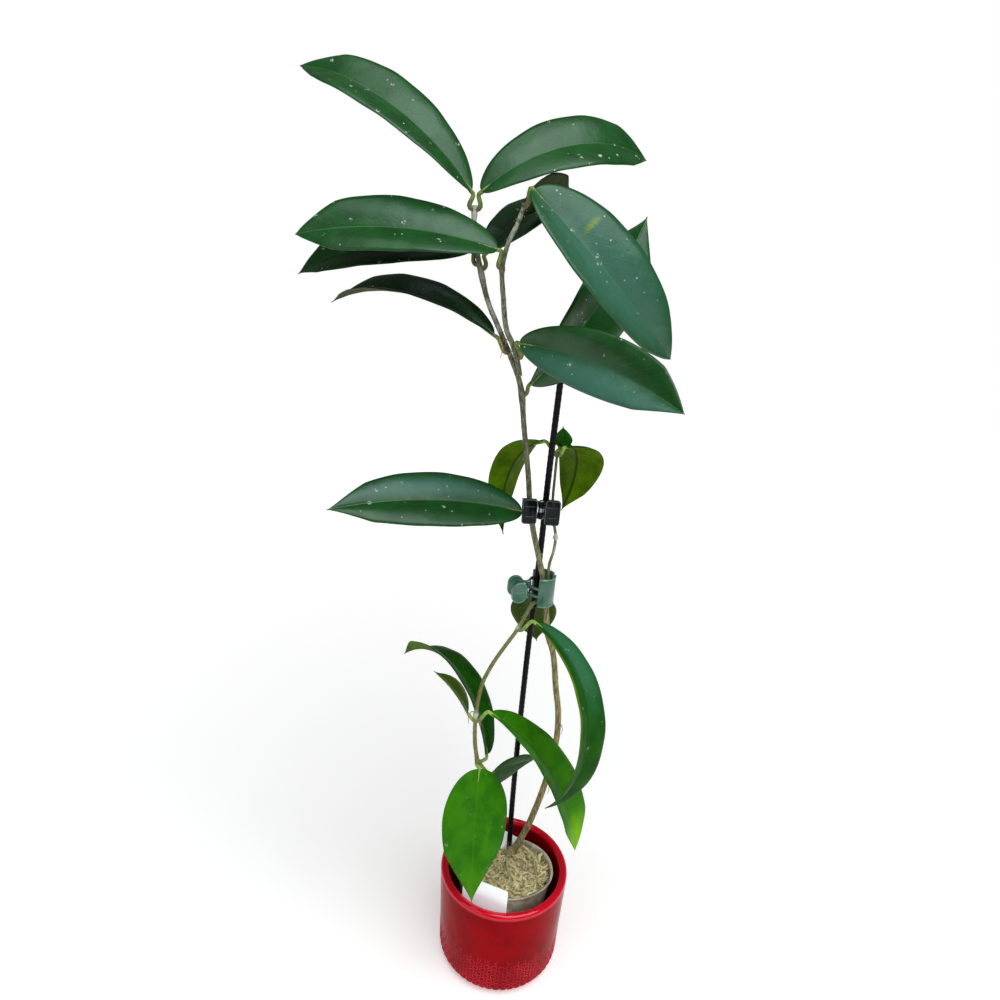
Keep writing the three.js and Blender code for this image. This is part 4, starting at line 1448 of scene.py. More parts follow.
@dataclass
class Stems:
    """The woody stem with its fork, the thin stem and the hanging shoot, with rootlets and fuzz."""

    main: Stem = Stem(
        (
            (4, 20, 77), (7.5, 21.5, 92), (14, 23, 107), (20, 25, 121), (33, 28, 174), (39, 30, 223),
            (38, 31, 252), (33, 31, 280), (27, 30, 316), (20, 29, 336), (17, 28, 357), (14, 28, 377),
            (9.5, 24, 397), (3, 22.5, 420), (-2, 23.5, 438), (-6, 25, 458), (-9, 24, 480), (-16, 19, 522),
            (-22, 13, 557), (-31, 10, 578), (-40, 8, 596), (-50, 8, 616), (-56, 8, 635), (-60, 9, 650),
            (-63, 8, 667), (-63, 6, 679),
        ),
        (3.2, 1.7),
        ((0.02, 0.3), (0.775, 0.3), (0.925, 0.3), (1.0, 0.35)),
        scars=(Band(0.88, 0.04, 0.55), Band(0.98, 0.03, 0.8)),
    )
    fork: Stem = Stem(
        (
            (-23, 11.5, 564), (-26, 5, 577), (-30, 1, 588), (-35, -1, 598), (-39, -5, 621), (-41, -7, 640),
            (-38, -9, 657), (-33, -9, 669), (-29, -9, 682),
        ),
        (2.1, 1.5),
        ((0.64, 0.3), (1.0, 0.3)),
        scars=(Band(0.35, 0.3, 0.35), Band(0.88, 0.16, 0.6)),
    )
    thin: Stem = Stem(
        (
            (16.5, 23, 379), (15, 22.3, 394), (15, 23, 406), (17.5, 25, 417), (18, 28, 430), (14, 32, 446),
            (13, 34, 462), (13, 35.5, 480), (13, 36, 497),
        ),
        (1.3, 1.1),
        ((0.42, 0.9), (1.0, 0.3)),
        green=(0.9, 0.8),
        scars=(Band(0.42, 0.03, 1.0), Band(0.34, 0.07, 0.7)),
    )
    shoot: Stem = Stem(
        (
            (10.5, 22, 372), (4, 21, 368), (-1, 17.5, 359), (-8, 12, 346), (-15, 6, 337), (-25, -2, 323),
            (-33, -9, 307), (-36, -14, 292), (-37, -18, 276), (-36, -21, 255), (-33, -23, 238),
        ),
        (1.6, 1.8),
        ((0.2, 0.35), (0.73, 0.4), (1.0, 0.2)),
        green=(0.7, 0.85),
        scars=(Band(0.2, 0.03, 0.6), Band(0.73, 0.04, 0.6)),
    )
    rootlets: tuple[tuple[Point, ...], ...] = (
        ((-38, 8, 594), (-40, 2, 592), (-37, -2, 585), (-38, -3, 578)),
        ((-36, 8, 590), (-33, 3, 590), (-30, 1, 584), (-32, -1, 579)),
        ((-37, -16, 281), (-41, -20, 284), (-43, -24, 281), (-42, -26, 276)),
        ((-37, -18, 274), (-33, -22, 276), (-32, -25, 272)),
        ((33, 28, 180), (36, 26, 176), (37, 25, 170), (36, 24, 165)),
        ((37, 30, 240), (41, 27, 243), (43, 26, 238), (42, 25, 233)),
    )
    sides: int = 20
    relief: float = 0.00022
    grain: float = 0.0028
    hairs: Hairs = Hairs(90000.0, 0.0022, 0.00009, (0.2, 1.3), 0.0008)
    bark: Finish = Bark()
    rootlet_finish: Finish = Fibre("rootlet", srgb(188, 142, 112), srgb(130, 88, 66), 0.002, 0.7)
    fuzz_finish: Finish = Fibre("stem fuzz", srgb(232, 228, 214), srgb(190, 182, 160), 0.002, 0.8)

    def middles(self) -> Array:
        """Points along the middle of every stem, in millimetres."""
        stems = (self.main, self.fork, self.thin, self.shoot)
        return np.concatenate([stem.laid()[0] for stem in stems]) / MM

    def swept(self, name: str, stems: Sequence[Stem]) -> Piece:
        """Bakes stems into one rough tube.

        Args:
            name: The piece's name.
            stems: The stems.

        Returns:
            The piece.
        """
        carrier = strung([stem.laid() for stem in stems], "carrier")
        tree = tube_tree(self.bark.material(), self.sides, self.relief, self.grain)
        return tree.baked(carrier, name)

    def fuzz(self, source: Piece) -> Piece:
        """Short pale hairs on a stem.

        Args:
            source: The stem's piece.

        Returns:
            The hairs.
        """
        carrier = placed_mesh(source.data.copy(), "carrier")
        count = len(carrier.data.vertices)
        scar = np.zeros(count)
        carrier.data.attributes["scar"].data.foreach_get("value", scar)
        hairy = carrier.data.attributes.new("hairy", "FLOAT", "POINT")
        hairy.data.foreach_set("value", 0.25 + scar)
        return self.hairs.tree(self.fuzz_finish.material()).baked(carrier, f"fuzz_on_{source.name}")

    def build(self) -> None:
        """Builds the stems and what grows on them."""
        woody = settle(self.swept("woody_stem", (self.main, self.fork)), ["main_stem"])
        olive = settle(self.swept("olive_stem", (self.thin,)), ["thin_stem"])
        arching = settle(self.swept("arching_shoot", (self.shoot,)), ["hanging_shoot"])
        for stem in (woody, olive, arching):
            settle(self.fuzz(stem))
        shell = Shell()
        for number, points in enumerate(self.rootlets):
            path = smooth_path(points, 16)
            radii = np.linspace(0.55, 0.2, len(path)) * MM
            shell.tube(path * MM, radii, 7, 0, {"shade": 0.2 + 0.12 * number})
        settle(shell.piece("rootlets", [self.rootlet_finish.material()]))


def arc(
    centre: float, height: float, radius: float, start: float, end: float, count: int
) -> list[list[float]]:
    """Points on an arc of a turned outline.

    Args:
        centre: Its centre's distance from the axis.
        height: Its centre's height.
        radius: Its radius.
        start: The first angle in degrees.
        end: The last angle in degrees.
        count: The number of points.

    Returns:
        The points, each a distance from the axis and a height.
    """
    angles = np.radians(np.linspace(start, end, count))
    return [[centre + radius * math.cos(angle), height + radius * math.sin(angle)] for angle in angles]


def filled(profile: Sequence[Sequence[float]], step: float) -> Array:
    """Adds points to an outline so that no stretch is longer than a step.

    Args:
        profile: The outline's corners.
        step: The longest stretch.

    Returns:
        The outline.
    """
    points = [np.array(profile[0], float)]
    for corner in profile[1:]:
        corner = np.array(corner, float)
        far = np.linalg.norm(corner - points[-1])
        if far < SAME_POINT:
            continue
        parts = max(1, math.ceil(far / step))
        start = points[-1]
        points += [start + (corner - start) * (part + 1) / parts for part in range(parts)]
    return np.array(points)


def lathe(profile: Array, sides: int) -> Array:
    """Turns an outline about the z axis.

    Args:
        profile: The outline, as distances from the axis and heights.
        sides: The number of sides.

    Returns:
        The points, as rows of rings.
    """
    angles = np.arange(sides) * math.tau / sides
    around = np.stack([np.cos(angles), np.sin(angles)], 1)
    rings = np.empty((len(profile), sides, 3))
    rings[:, :, :2] = profile[:, 0, None, None] * around[None]
    rings[:, :, 2] = profile[:, 1, None]
    return rings


def rounded(half_width: float, half_height: float, radius: float, steps: int) -> list[tuple[float, float]]:
    """A rounded outline, as arcs about the corners of a rectangle.

    Args:
        half_width: Half the rectangle's width.
        half_height: Half its height.
        radius: The arcs' radius.
        steps: The number of points in each arc.

    Returns:
        The points.
    """
    ring = []
    for across, up, start in ((1, 1, 0), (-1, 1, 90), (-1, -1, 180), (1, -1, 270)):
        for angle in np.radians(np.linspace(start, start + 90, steps)):
            ring.append((
                across * half_width + radius * math.cos(angle), up * half_height + radius * math.sin(angle)
            ))
    return ring


@dataclass
class CachePot:
    """The glazed cache pot, with rows of small embossed rings. Sizes are in millimetres."""

    height: float = 101.6
    rim_radius: float = 60.0
    base_radius: float = 57.0
    foot_round: float = 13.0
    lip: float = 7.3
    inner_base_radius: float = 50.5
    inner_round: float = 9.0
    floor: float = 6.0
    sides: int = 144
    ring_rows: int = 15
    rings_a_row: int = 52
    first_row: float = 7.0
    row_pitch: float = 5.9
    ring_radius: float = 2.5
    bead: float = 0.42
    relief: float = 0.46
    sink: float = 0.08
    relief_foot: float = 12.0
    relief_head: float = 56.0
    RAY_START: ClassVar[float] = 0.09
    RAY_LENGTH: ClassVar[float] = 0.2
    glaze: Finish = Glaze()
    # The rings' lighter, pinker glaze is partly glaze thinning over raised edges and partly a painted
    # highlight along them.
    ring_glaze_and_painted_highlight: Finish = Glaze("ring glaze and painted highlight", body=srgb(200, 44, 58), deep=srgb(176, 22, 36), wall_gloss=0.2)

    def outline(self) -> Array:
        """The outline from the middle of the underside, up the wall and down inside.

        Returns:
            The outline, as distances from the axis and heights.
        """
        lip, foot, inner = self.lip / 2, self.foot_round, self.inner_round
        profile = [[0.3, 0.0]]
        profile += arc(self.base_radius - foot, foot, foot, -90, 0, 16)
        profile += arc(self.rim_radius - lip, self.height - lip, lip, 0, 180, 22)
        profile += arc(self.inner_base_radius - inner, self.floor + inner, inner, 0, -90, 12)
        profile += [[0.3, self.floor]]
        return filled(profile, 2.4)

    def rings(self, wall: Piece) -> Piece:
        """Embossed rings laid on the wall by rays from outside it. They sink in higher up.

        Args:
            wall: The pot's own piece.

        Returns:
            The rings.
        """
        sizes = {
            "Rows": self.ring_rows, "Rings a row": self.rings_a_row, "First row": self.first_row * MM,
            "Row pitch": self.row_pitch * MM, "Ring radius": self.ring_radius * MM,
            "Bead": self.bead * MM,
        }
        tree = ShapeTree("embossed rings", sizes)
        count = tree.given("Rows") * tree.given("Rings a row")
        points = tree.add("GeometryNodePoints", sockets={"Count": count})
        index = tree.add("GeometryNodeInputIndex")
        row = index // tree.given("Rings a row")
        angle = (index + (row % 2.0) * 0.5) * math.tau / tree.given("Rings a row")
        east = tree.add("ShaderNodeMath", {"operation": "COSINE"}, {0: angle})
        north = tree.add("ShaderNodeMath", {"operation": "SINE"}, {0: angle})
        level = tree.given("First row") + row * tree.given("Row pitch")
        source = tree.vector(east * self.RAY_START, north * self.RAY_START, level)
        aim = {
            "Target Geometry": tree.given(), "Source Position": source,
            "Ray Direction": tree.vector(east * -1.0, north * -1.0, 0.0), "Ray Length": self.RAY_LENGTH,
        }
        hit = tree.add("GeometryNodeRaycast", {"data_type": "FLOAT"}, aim, "Hit Position")
        outward = Link(tree, hit.socket.node.outputs["Hit Normal"])
        raised = level.fall(self.relief_foot * MM, self.relief_head * MM)
        relief = raised * self.relief * MM - self.sink * MM
        sunk = tree.scaled(outward, relief - tree.given("Bead"))
        moved = tree.add(
            "GeometryNodeSetPosition", sockets={"Geometry": points, "Position": hit, "Offset": sunk}
        )
        circle, bead = tree.circle(tree.given("Ring radius"), 16), tree.circle(tree.given("Bead"), 6)
        ring = tree.add("GeometryNodeCurveToMesh", sockets={"Curve": circle, "Profile Curve": bead})
        facing = tree.add("FunctionNodeAlignRotationToVector", {"axis": "Z"}, {"Vector": outward})
        placed = tree.add(
            "GeometryNodeInstanceOnPoints", sockets={"Points": moved, "Instance": ring, "Rotation": facing}
        )
        carrier = placed_mesh(wall.data.copy(), "carrier")
        return tree.close(placed, self.ring_glaze_and_painted_highlight.material()).baked(carrier, "embossed_rings")

    def build(self) -> None:
        """Builds the pot and its rings."""
        shell = Shell()
        shell.sheet(lathe(self.outline() * MM, self.sides))
        pot = settle(shell.piece("glazed_pot", [self.glaze.material()]), ["cache_pot"])
        settle(self.rings(pot))


@dataclass
class NurseryPot:
    """The thin clear pot inside, squeezed oval, with the moss and roots it holds."""

    bottom: float = 6.4
    top: float = 96.0
    rim_radius: float = 46.5
    base_radius: float = 34.0
    wall: float = 1.0
    lip: float = 1.2
    lip_drop: float = 1.6
    squeeze: float = 0.81
    centre: tuple[float, float] = (1.0, 1.5)
    moss_top: float = 86.0
    crown: float = 3.0
    lump: float = 1.3
    hollow: tuple[float, float] = (1.0, 21.0)
    hollow_reach: float = 12.0
    hollow_depth: float = 6.5
    bare: tuple[float, float] = (-1.0, 17.0)
    bare_reach: float = 9.0
    root_lift: float = 5.0
    sides: int = 128
    roots: tuple[tuple[float, tuple[Point, ...]], ...] = (
        (1.7, ((4, 17, 83), (9, 8, 88), (17, -8, 88.5), (24, -15, 86))),
        (1.5, ((2, 15, 83), (4, 4, 88), (10, -13, 88.5), (15, -21, 86))),
        (1.5, ((18, 31, 86), (26, 23, 87.5), (32, 11, 87.5), (34, 0, 86.5))),
        (1.1, ((6, 21, 84), (-6, 14, 87), (-14, 6, 88.5), (-20, -6, 88))),
        (1.0, ((8, 18, 84), (18, 14, 88.5), (25, 3, 88.5), (20, -10, 88.5))),
        (0.9, ((0, 22, 84), (-10, 25, 86), (-20, 20, 87), (-28, 10, 87))),
        (1.2, ((2, 6, 88.5), (12, 1, 89), (24, -3, 88), (31, -9, 86.5))),
        (1.3, ((-4, -14, 88), (6, -20, 87), (16, -24, 86), (26, -19, 86))),
        (0.9, ((10, 26, 86), (16, 22, 88), (28, 14, 88), (30, 4, 88))),
    )
    crown_path: tuple[Point, ...] = ((-5, 13, 82), (-1, 16.5, 85), (4, 20, 88), (9, 21.8, 97))
    crown_radii: tuple[float, float] = (7.0, 3.5)
    strand_hairs: Hairs = Hairs(430000.0, 0.011, 0.0008, (1.0, 1.5), 0.0045, joints=7, curl=0.45)
    thread_hairs: Hairs = Hairs(60000.0, 0.015, 0.0017, (1.25, 1.55), 0.006, SEED + 60, 5, 9, 0.45)
    root_hairs: Hairs = Hairs(24000.0, 0.0024, 0.0001, (0.2, 1.4), 0.001, SEED + 20)
    crown_hairs: Hairs = Hairs(420000.0, 0.006, 0.00022, (0.6, 1.5), 0.002, SEED + 40, joints=6)
    plastic: Finish = ClearPlastic()
    strands: Finish = Fibre()
    # The moss bed's dark tone shows on its top as painted shade in the gaps between strands.
    moss_bed_and_painted_shade: Finish = Fibre("moss bed", srgb(206, 190, 146), srgb(92, 76, 40), 0.003, 0.92)
    root_skin: Finish = Fibre("pale root", srgb(255, 240, 194), srgb(214, 192, 138), 0.002, 0.6)
    crown_hair: Finish = Fibre("root crown hair", srgb(214, 196, 156), srgb(140, 120, 84), 0.002, 0.85)

    def radius(self, height: float | Array) -> float | Array:
        """The wall's outer radius at a height."""
        share = (height - self.bottom) / (self.top - self.bottom)
        return self.base_radius + (self.rim_radius - self.lip - self.base_radius) * share

    def squeezed(self, rings: Array) -> Array:
        """Squeezes turned rings oval, moves them to the pot's middle and goes to metres."""
        shaped = rings * np.array([1.0, self.squeeze, 1.0])
        return (shaped + np.array([self.centre[0], self.centre[1], 0.0])) * MM

    def pot(self) -> Piece:
        """The clear pot with its rolled lip.

        Returns:
            The piece.
        """
        foot = self.top - self.lip_drop
        roll = self.lip_drop / 2
        base, inside = self.radius(self.bottom), self.bottom + self.wall
        profile = [[0.3, self.bottom], [base - 1.5, self.bottom]]
        profile += [[base - 0.2, self.bottom + 1.2], [self.radius(foot), foot]]
        profile += arc(self.rim_radius - roll, foot + roll, roll, -80, 90, 9)
        profile += [[self.radius(self.top) - self.wall, self.top], [base - self.wall, inside], [0.3, inside]]
        rings = lathe(filled(profile, 3.0), self.sides)
        angle = np.arctan2(rings[:, :, 1], rings[:, :, 0])
        height = rings[:, :, 2]
        wobble = 0.25 * np.sin(3 * angle + 0.05 * height) + 0.15 * np.sin(7 * angle - 0.09 * height)
        rings[:, :, :2] *= (1 + wobble / 45)[..., None]
        shell = Shell()
        shell.sheet(self.squeezed(rings))
        return shell.piece("clear_pot", [self.plastic.material()])

    def lumps(self, x: Array, y: Array) -> Array:
        """The moss's uneven top.

        Args:
            x: Places to the right, in millimetres.
            y: Places to the rear, in millimetres.

        Returns:
            How far the top is raised there, in millimetres.
        """
        wide = np.sin(0.31 * x + 0.7) * np.cos(0.27 * y - 0.4) + 0.6 * np.sin(0.52 * y + 0.38 * x)
        fine = np.sin(1.1 * x + 0.4) * np.sin(1.3 * y) + 0.7 * np.sin(2.1 * x - 1.7 * y)
        far = ((x - self.hollow[0]) ** 2 + (y - self.hollow[1]) ** 2) / self.hollow_reach ** 2
        return self.lump * wide + 0.45 * fine - self.hollow_depth * np.exp(-far)

    def bed(self) -> Piece:
        """The moss as one closed bumpy body.

        Returns:
            The piece.
        """
        base = self.bottom + self.wall + 0.3
        gap = self.wall + 0.6
        rim = self.radius(self.moss_top) - gap
        profile = [[0.3, base], [self.radius(base) - gap, base], [rim, self.moss_top]]
        for share in np.linspace(0, 1, 34)[1:]:
            rise = self.crown * math.sin(share * math.pi / 2)
            profile.append([rim * (1 - share) + 0.3, self.moss_top + rise])
        rings = lathe(filled(profile, 2.0), 112)
        shaped = self.squeezed(rings)
        top = shaped[:, :, 2] > (self.moss_top + 0.1) * MM
        x, y = shaped[:, :, 0] / MM, shaped[:, :, 1] / MM
        shaped[:, :, 2] += np.where(top, self.lumps(x, y) * MM, 0)
        shell = Shell()
        inside = np.linalg.norm(rings[:, :, :2], axis=2) < 0.9 * rim
        inside &= np.hypot(x - self.bare[0], y - self.bare[1]) > self.bare_reach
        # Shade 1 paints the top dark as painted shade between the strands; the side keeps the light tone.
        stored = {"hairy": (top & inside).astype(float), "shade": np.where(top, 1.0, -0.3)}
        shell.sheet(shaped, 0, stored)
        return shell.piece("moss_bed", [self.moss_bed_and_painted_shade.material()])

    def grown(self, source: Piece, name: str, hairs: Hairs, finish: Finish) -> Piece:
        """Strands over a piece where it is marked hairy."""
        carrier = placed_mesh(source.data.copy(), "carrier")
        return hairs.tree(finish.material()).baked(carrier, name)

    def contained(self, piece: Piece) -> Piece:
        """Draws in what pokes out through the pot's wall.

        Args:
            piece: The strands.

        Returns:
            The same piece.
        """
        places = np.zeros(3 * len(piece.data.vertices))
        piece.data.vertices.foreach_get("co", places)
        places = places.reshape(-1, 3) / MM
        middle, shape = np.array(self.centre), np.array([1.0, self.squeeze])
        flat = (places[:, :2] - middle) / shape
        most = self.radius(np.minimum(places[:, 2], self.top)) - self.wall - 0.8
        share = np.minimum(1.0, most / (np.linalg.norm(flat, axis=1) + 1e-9))
        places[:, :2] = flat * share[:, None] * shape + middle
        piece.data.vertices.foreach_set("co", (places * MM).ravel())
        piece.data.update()
        return piece

    def build(self) -> None:
        """Builds the pot, the moss, its strands and the roots."""
        settle(self.pot(), ["nursery_pot"])
        bed = settle(self.bed(), ["moss"])
        for name, hairs in (("moss_strands", self.strand_hairs), ("moss_threads", self.thread_hairs)):
            settle(self.contained(self.grown(bed, name, hairs, self.strands)))
        shell = Shell()
        for number, (radius, points) in enumerate(self.roots):
            path = smooth_path(points, 40)
            share = np.linspace(0, 1, 40)
            sway = [np.sin(9 * share + number), np.cos(7 * share), np.sin(11 * share)]
            path = path + 0.5 * np.stack(sway, 1)
            path[:, 2] += self.root_lift
            widths = radius * (1 + 0.12 * np.sin(23 * share + number)) * (1 - 0.35 * share)
            shell.tube(path * MM, widths * MM, 10, 0, {"hairy": 1.0, "shade": 0.1 * number})
        roots = settle(shell.piece("pale_roots", [self.root_skin.material()]))
        settle(self.grown(roots, "root_hairs", self.root_hairs, self.root_skin))
        crown = Shell()
        path = smooth_path(self.crown_path, 16)
        radii = np.linspace(*self.crown_radii, len(path))
        crown.tube(path * MM, radii * MM, 18, 0, {"hairy": 1.0, "shade": 0.5})
        clump = settle(crown.piece("root_crown", [self.crown_hair.material()]))
        settle(self.grown(clump, "crown_hairs", self.crown_hairs, self.crown_hair))


@dataclass
class Tags:
    """The two plain white tags, with rounded corners and soft edges. Sizes are in millimetres."""

    thickness: float = 0.8
    corner: float = 1.8
    soft: float = 0.22
    bow: float = 0.5
    finish: Finish = Card()

    def slab(self, name: str, width: float, height: float, foot: Point, turned: float, lean: float) -> None:
        """Builds one tag.

        Args:
            name: The CAD node that it replaces.
            width: Its width.
            height: Its height.
            foot: The middle of its lower edge.
            turned: Its turn about the vertical axis in degrees.
            lean: Its lean in degrees.
        """
        rings = []
        for level, grow in ((-1, 0.0), (-1, 1.0), (-0.45, 1.55), (0.45, 1.55), (1, 1.0), (1, 0.0)):
            inset = self.soft * (1.55 - grow) if grow else self.corner
            radius = max(self.corner - inset, 0.05)
            ring = rounded(width / 2 - self.corner, height / 2 - self.corner, radius, 7)
            rings.append([(x, level * self.thickness / 2, height / 2 + z) for x, z in ring])
        grid = np.array(rings)
        grid[:, :, 1] += self.bow * np.cos(grid[:, :, 0] / width * math.pi) - self.bow / 2
        place = Matrix.Rotation(math.radians(turned), 3, "Z") @ Matrix.Rotation(math.radians(lean), 3, "Y")
        shaped = grid[::-1] @ np.array(place).T + np.array(foot)
        shell = Shell()
        shell.sheet(shaped * MM)
        settle(shell.piece(f"plain_{name}", [self.finish.material()]), [name])

    def build(self) -> None:
        """Builds both tags."""
        self.slab("front_tag", width=43.0, height=80.0, foot=(-17, -41.6, 40), turned=-20.7, lean=0.0)
        self.slab("rear_tag", width=18.0, height=26.0, foot=(-7.6, 32.9, 82), turned=0.0, lean=31.0)


@dataclass
class Stake:
    """The black stake, with shallow ribs round it. Sizes are in millimetres."""

    radius: float = 2.65
    rib_pitch: float = 5.2
    tip_length: float = 2.4
    count: int = 640
    points: tuple[Point, ...] = (
        (5.4, 24.5, 12), (5, 29.5, 86), (3.8, 29.5, 146), (3.5, 29.5, 203), (3.8, 29.5, 258),
        (4.7, 29.5, 333), (6.9, 29.5, 419), (7.3, 29.5, 475), (8.8, 29.5, 541), (10, 29.5, 587),
    )
    finish: Finish = Moulded()

    def build(self) -> None:
        """Builds the stake."""
        path = smooth_path(self.points, self.count)
        height = np.linspace(0, np.linalg.norm(np.diff(path, axis=0), axis=1).sum(), self.count)
        rib = np.clip(np.sin(height / self.rib_pitch * math.tau), 0, 1) ** 2
        end = np.sqrt(np.clip((height[-1] - height + 0.15) / self.tip_length, 0, 1))
        radii = self.radius * (0.96 + 0.06 * rib) * end
        carrier = strung([(path * MM, {"thick": radii * MM})], "carrier")
        stake = tube_tree(self.finish.material(), 20, 0.00004, 0.002).baked(carrier, "ribbed_stake")
        settle(stake, ["stake"])


@dataclass(frozen=True)
class FingerTab:
    """A clip's finger tab: its middle, its turn in degrees and its plate, in millimetres.

    The ribs are heights as shares of the plate's, and inner is how much further in the plate reaches.
    """

    reach: tuple[float, float]
    turned: float
    width: float
    height: float
    round: float
    ribs: tuple[float, ...]
    inner: float = 0.0


@dataclass(frozen=True)
class ClawClip:
    """A claw clip: two jaws on a pin with a coil spring, in millimetres and degrees."""

    name: str
    pin: Point
    heading: float
    ring: float
    height: float
    plate_from: float
    plate_to: float
    tab: FingerTab
    slot: Slot
    finish: Finish
    # The lighter colour of the rims, ribs, rolled edges and teeth is a painted highlight.
    painted_edge_highlight: Finish
    slope: float = 0.0
    slope_from: float = 4.0
    wall: float = 1.6
    pin_radius: float = 1.1
    spring_radius: float = 2.0
    wire: float = 0.36
    steel: Finish = Steel()
    EDGE: ClassVar[float] = 0.28
    EDGE_ANGLE: ClassVar[float] = 38.0
    RIM: ClassVar[float] = 0.42
    RIM_INSET: ClassVar[float] = 0.55
    RIB: ClassVar[float] = 0.34
    FACE: ClassVar[float] = 0.8
    ROLL: ClassVar[float] = 0.72
    TEETH: ClassVar[int] = 5
    PIN_HALF: ClassVar[float] = 8.1
    HEAD: ClassVar[float] = 0.75
    TURNS: ClassVar[int] = 5
    TURN_POINTS: ClassVar[int] = 22

    def placed(self, points: Array, mirrored: bool = False) -> Array:
        """Moves points from the clip's own plane to their place, in metres."""
        flipped = points * np.array([-1.0 if mirrored else 1.0, 1.0, 1.0])
        return (self.sloped(flipped) @ self.way().T + np.array(self.pin)) * MM

    def way(self) -> Array:
        """The turn from the clip's own plane to the plant's."""
        return np.array(Matrix.Rotation(math.radians(self.heading - 90), 3, "Z"))

    def sloped(self, points: Array) -> Array:
        """Lowers the claws towards their ends, in the clip's own plane."""
        lowered = self.slope * np.clip(points[..., 1] - self.slope_from, 0, None)
        return points - np.stack([0 * lowered, 0 * lowered, lowered], -1)

    def softened(self, node: str, name: str) -> Piece:
        """Copies a CAD node's shape, merges its doubles and rounds its edges.

        Args:
            node: The CAD node.
            name: The new piece's name.

        Returns:
            The piece.
        """
        shape = bmesh.new()
        shape.from_mesh(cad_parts[node].data)
        bmesh.ops.remove_doubles(shape, verts=shape.verts, dist=0.02 * MM)
        flat = math.radians(1.0)
        bmesh.ops.dissolve_limit(shape, angle_limit=flat, verts=shape.verts, edges=shape.edges)
        way, pin = self.way(), np.array(self.pin)
        for corner in shape.verts:
            own = (np.array(corner.co) / MM - pin) @ way
            corner.co = (self.sloped(own) @ way.T + pin) * MM
        mesh = bpy.data.meshes.new(name)
        shape.to_mesh(mesh)
        shape.free()
        mesh.materials.clear()
        mesh.materials.append(self.finish.material())
        mesh.polygons.foreach_set("material_index", [0] * len(mesh.polygons))
        mesh.polygons.foreach_set("use_smooth", [True] * len(mesh.polygons))
        piece = placed_mesh(mesh, name)
        bevel = piece.modifiers.new("soft edges", "BEVEL")
        bevel.width = self.EDGE * MM
        bevel.segments = 2
        bevel.limit_method = "ANGLE"
        bevel.angle_limit = math.radians(self.EDGE_ANGLE)
        bevel.harden_normals = True
        return piece

    def tab_outline(self, inset: float) -> Array:
        """The tab's rounded outline in its own upright plane.

        Args:
            inset: How far it lies inside the plate's edge.

        Returns:
            The points, of which the last is the first again.
        """
        corner = max(self.tab.round - inset, 0.2)
        x = (self.tab.width + self.tab.inner) / 2 - self.tab.round
        z = self.tab.height / 2 - self.tab.round
        ring = [(across, 0.0, up) for across, up in rounded(x, z, corner, 8)]
        return np.array(ring + ring[:1])

    def on_tab(self, points: Array) -> Array:
        """Moves points from the tab's own plane into the clip's plane.

        Args:
            points: The points.

        Returns:
            The moved points.
        """
        turned = np.array(Matrix.Rotation(math.radians(self.tab.turned), 3, "Z"))
        moved = points - np.array([self.tab.inner / 2, 0.0, 0.0])
        return moved @ turned.T + np.array([self.tab.reach[0], self.tab.reach[1], 0.0])

    def on_claw(self, radius: Array, angles: Array, height: float) -> Array:
        """Points on the claw's arc, at radii and angles about its middle and at one height."""
        centre = self.ring + self.wall + 0.6
        return np.stack([radius * np.cos(angles), centre + radius * np.sin(angles), 0 * angles + height], 1)

    def trim(self, mirrored: bool) -> Piece:
        """The tab's raised rim and grip ribs, the claw plate's rolled edges and its teeth.

        Args:
            mirrored: Whether it is the fixed jaw's trim.

        Returns:
            The piece.
        """
        shell = Shell()
        for face in (-self.FACE, self.FACE):
            rim = self.on_tab(self.tab_outline(self.RIM_INSET) + np.array([0.0, face, 0.0]))
            shell.tube(self.placed(rim, mirrored), self.RIM * MM, 8)
            for place in self.tab.ribs:
                reach = (self.tab.width + self.tab.inner) * 0.34
                bow = np.linspace(-1, 1, 9)
                rib = np.stack([bow * reach, 0 * bow + face, place * self.tab.height + 0.5 * bow ** 2], 1)
                shell.tube(self.placed(self.on_tab(rib), mirrored), self.RIB * MM, 8)
        if self.tab.inner:
            plate = []
            for face, inset in ((0.75, 0.6), (0.5, 0.3), (-0.5, 0.3), (-0.75, 0.6)):
                ring = self.tab_outline(inset)[:-1] + np.array([0.0, face, 0.0])
                plate.append(self.placed(self.on_tab(ring), mirrored))
            shell.sheet(np.array(plate[::-1] if mirrored else plate), 1)
        angles = np.radians(np.linspace(self.plate_from, self.plate_to, 30))
        radius = self.ring + self.wall / 2 + 0.35 + 0.25 * np.sin(np.linspace(0, math.pi, 30))
        for end in (-0.5, 0.5):
            edge = self.on_claw(radius, angles, end * self.height)
            shell.tube(self.placed(edge, mirrored), self.ROLL * MM, 10)
        share = np.linspace(0, 1, 6)
        swing = math.radians(self.plate_to - 4) - 0.10 * share
        radius = self.ring + 0.5 - 1.1 * share ** 1.3
        for tooth in np.linspace(-0.42, 0.42, self.TEETH):
            path = self.on_claw(radius, swing, tooth * self.height)
            shell.tube(self.placed(path, mirrored), np.linspace(0.8, 0.25, 6) * MM, 8)
        side = "fixed" if mirrored else "moving"
        # The rims, ribs, rolled edges and teeth wear the painted highlight; the tab plate wears the body's
        # colour.
        materials = [self.painted_edge_highlight.material(), self.finish.material()]
        return shell.piece(f"{self.name}_{side}_trim", materials)

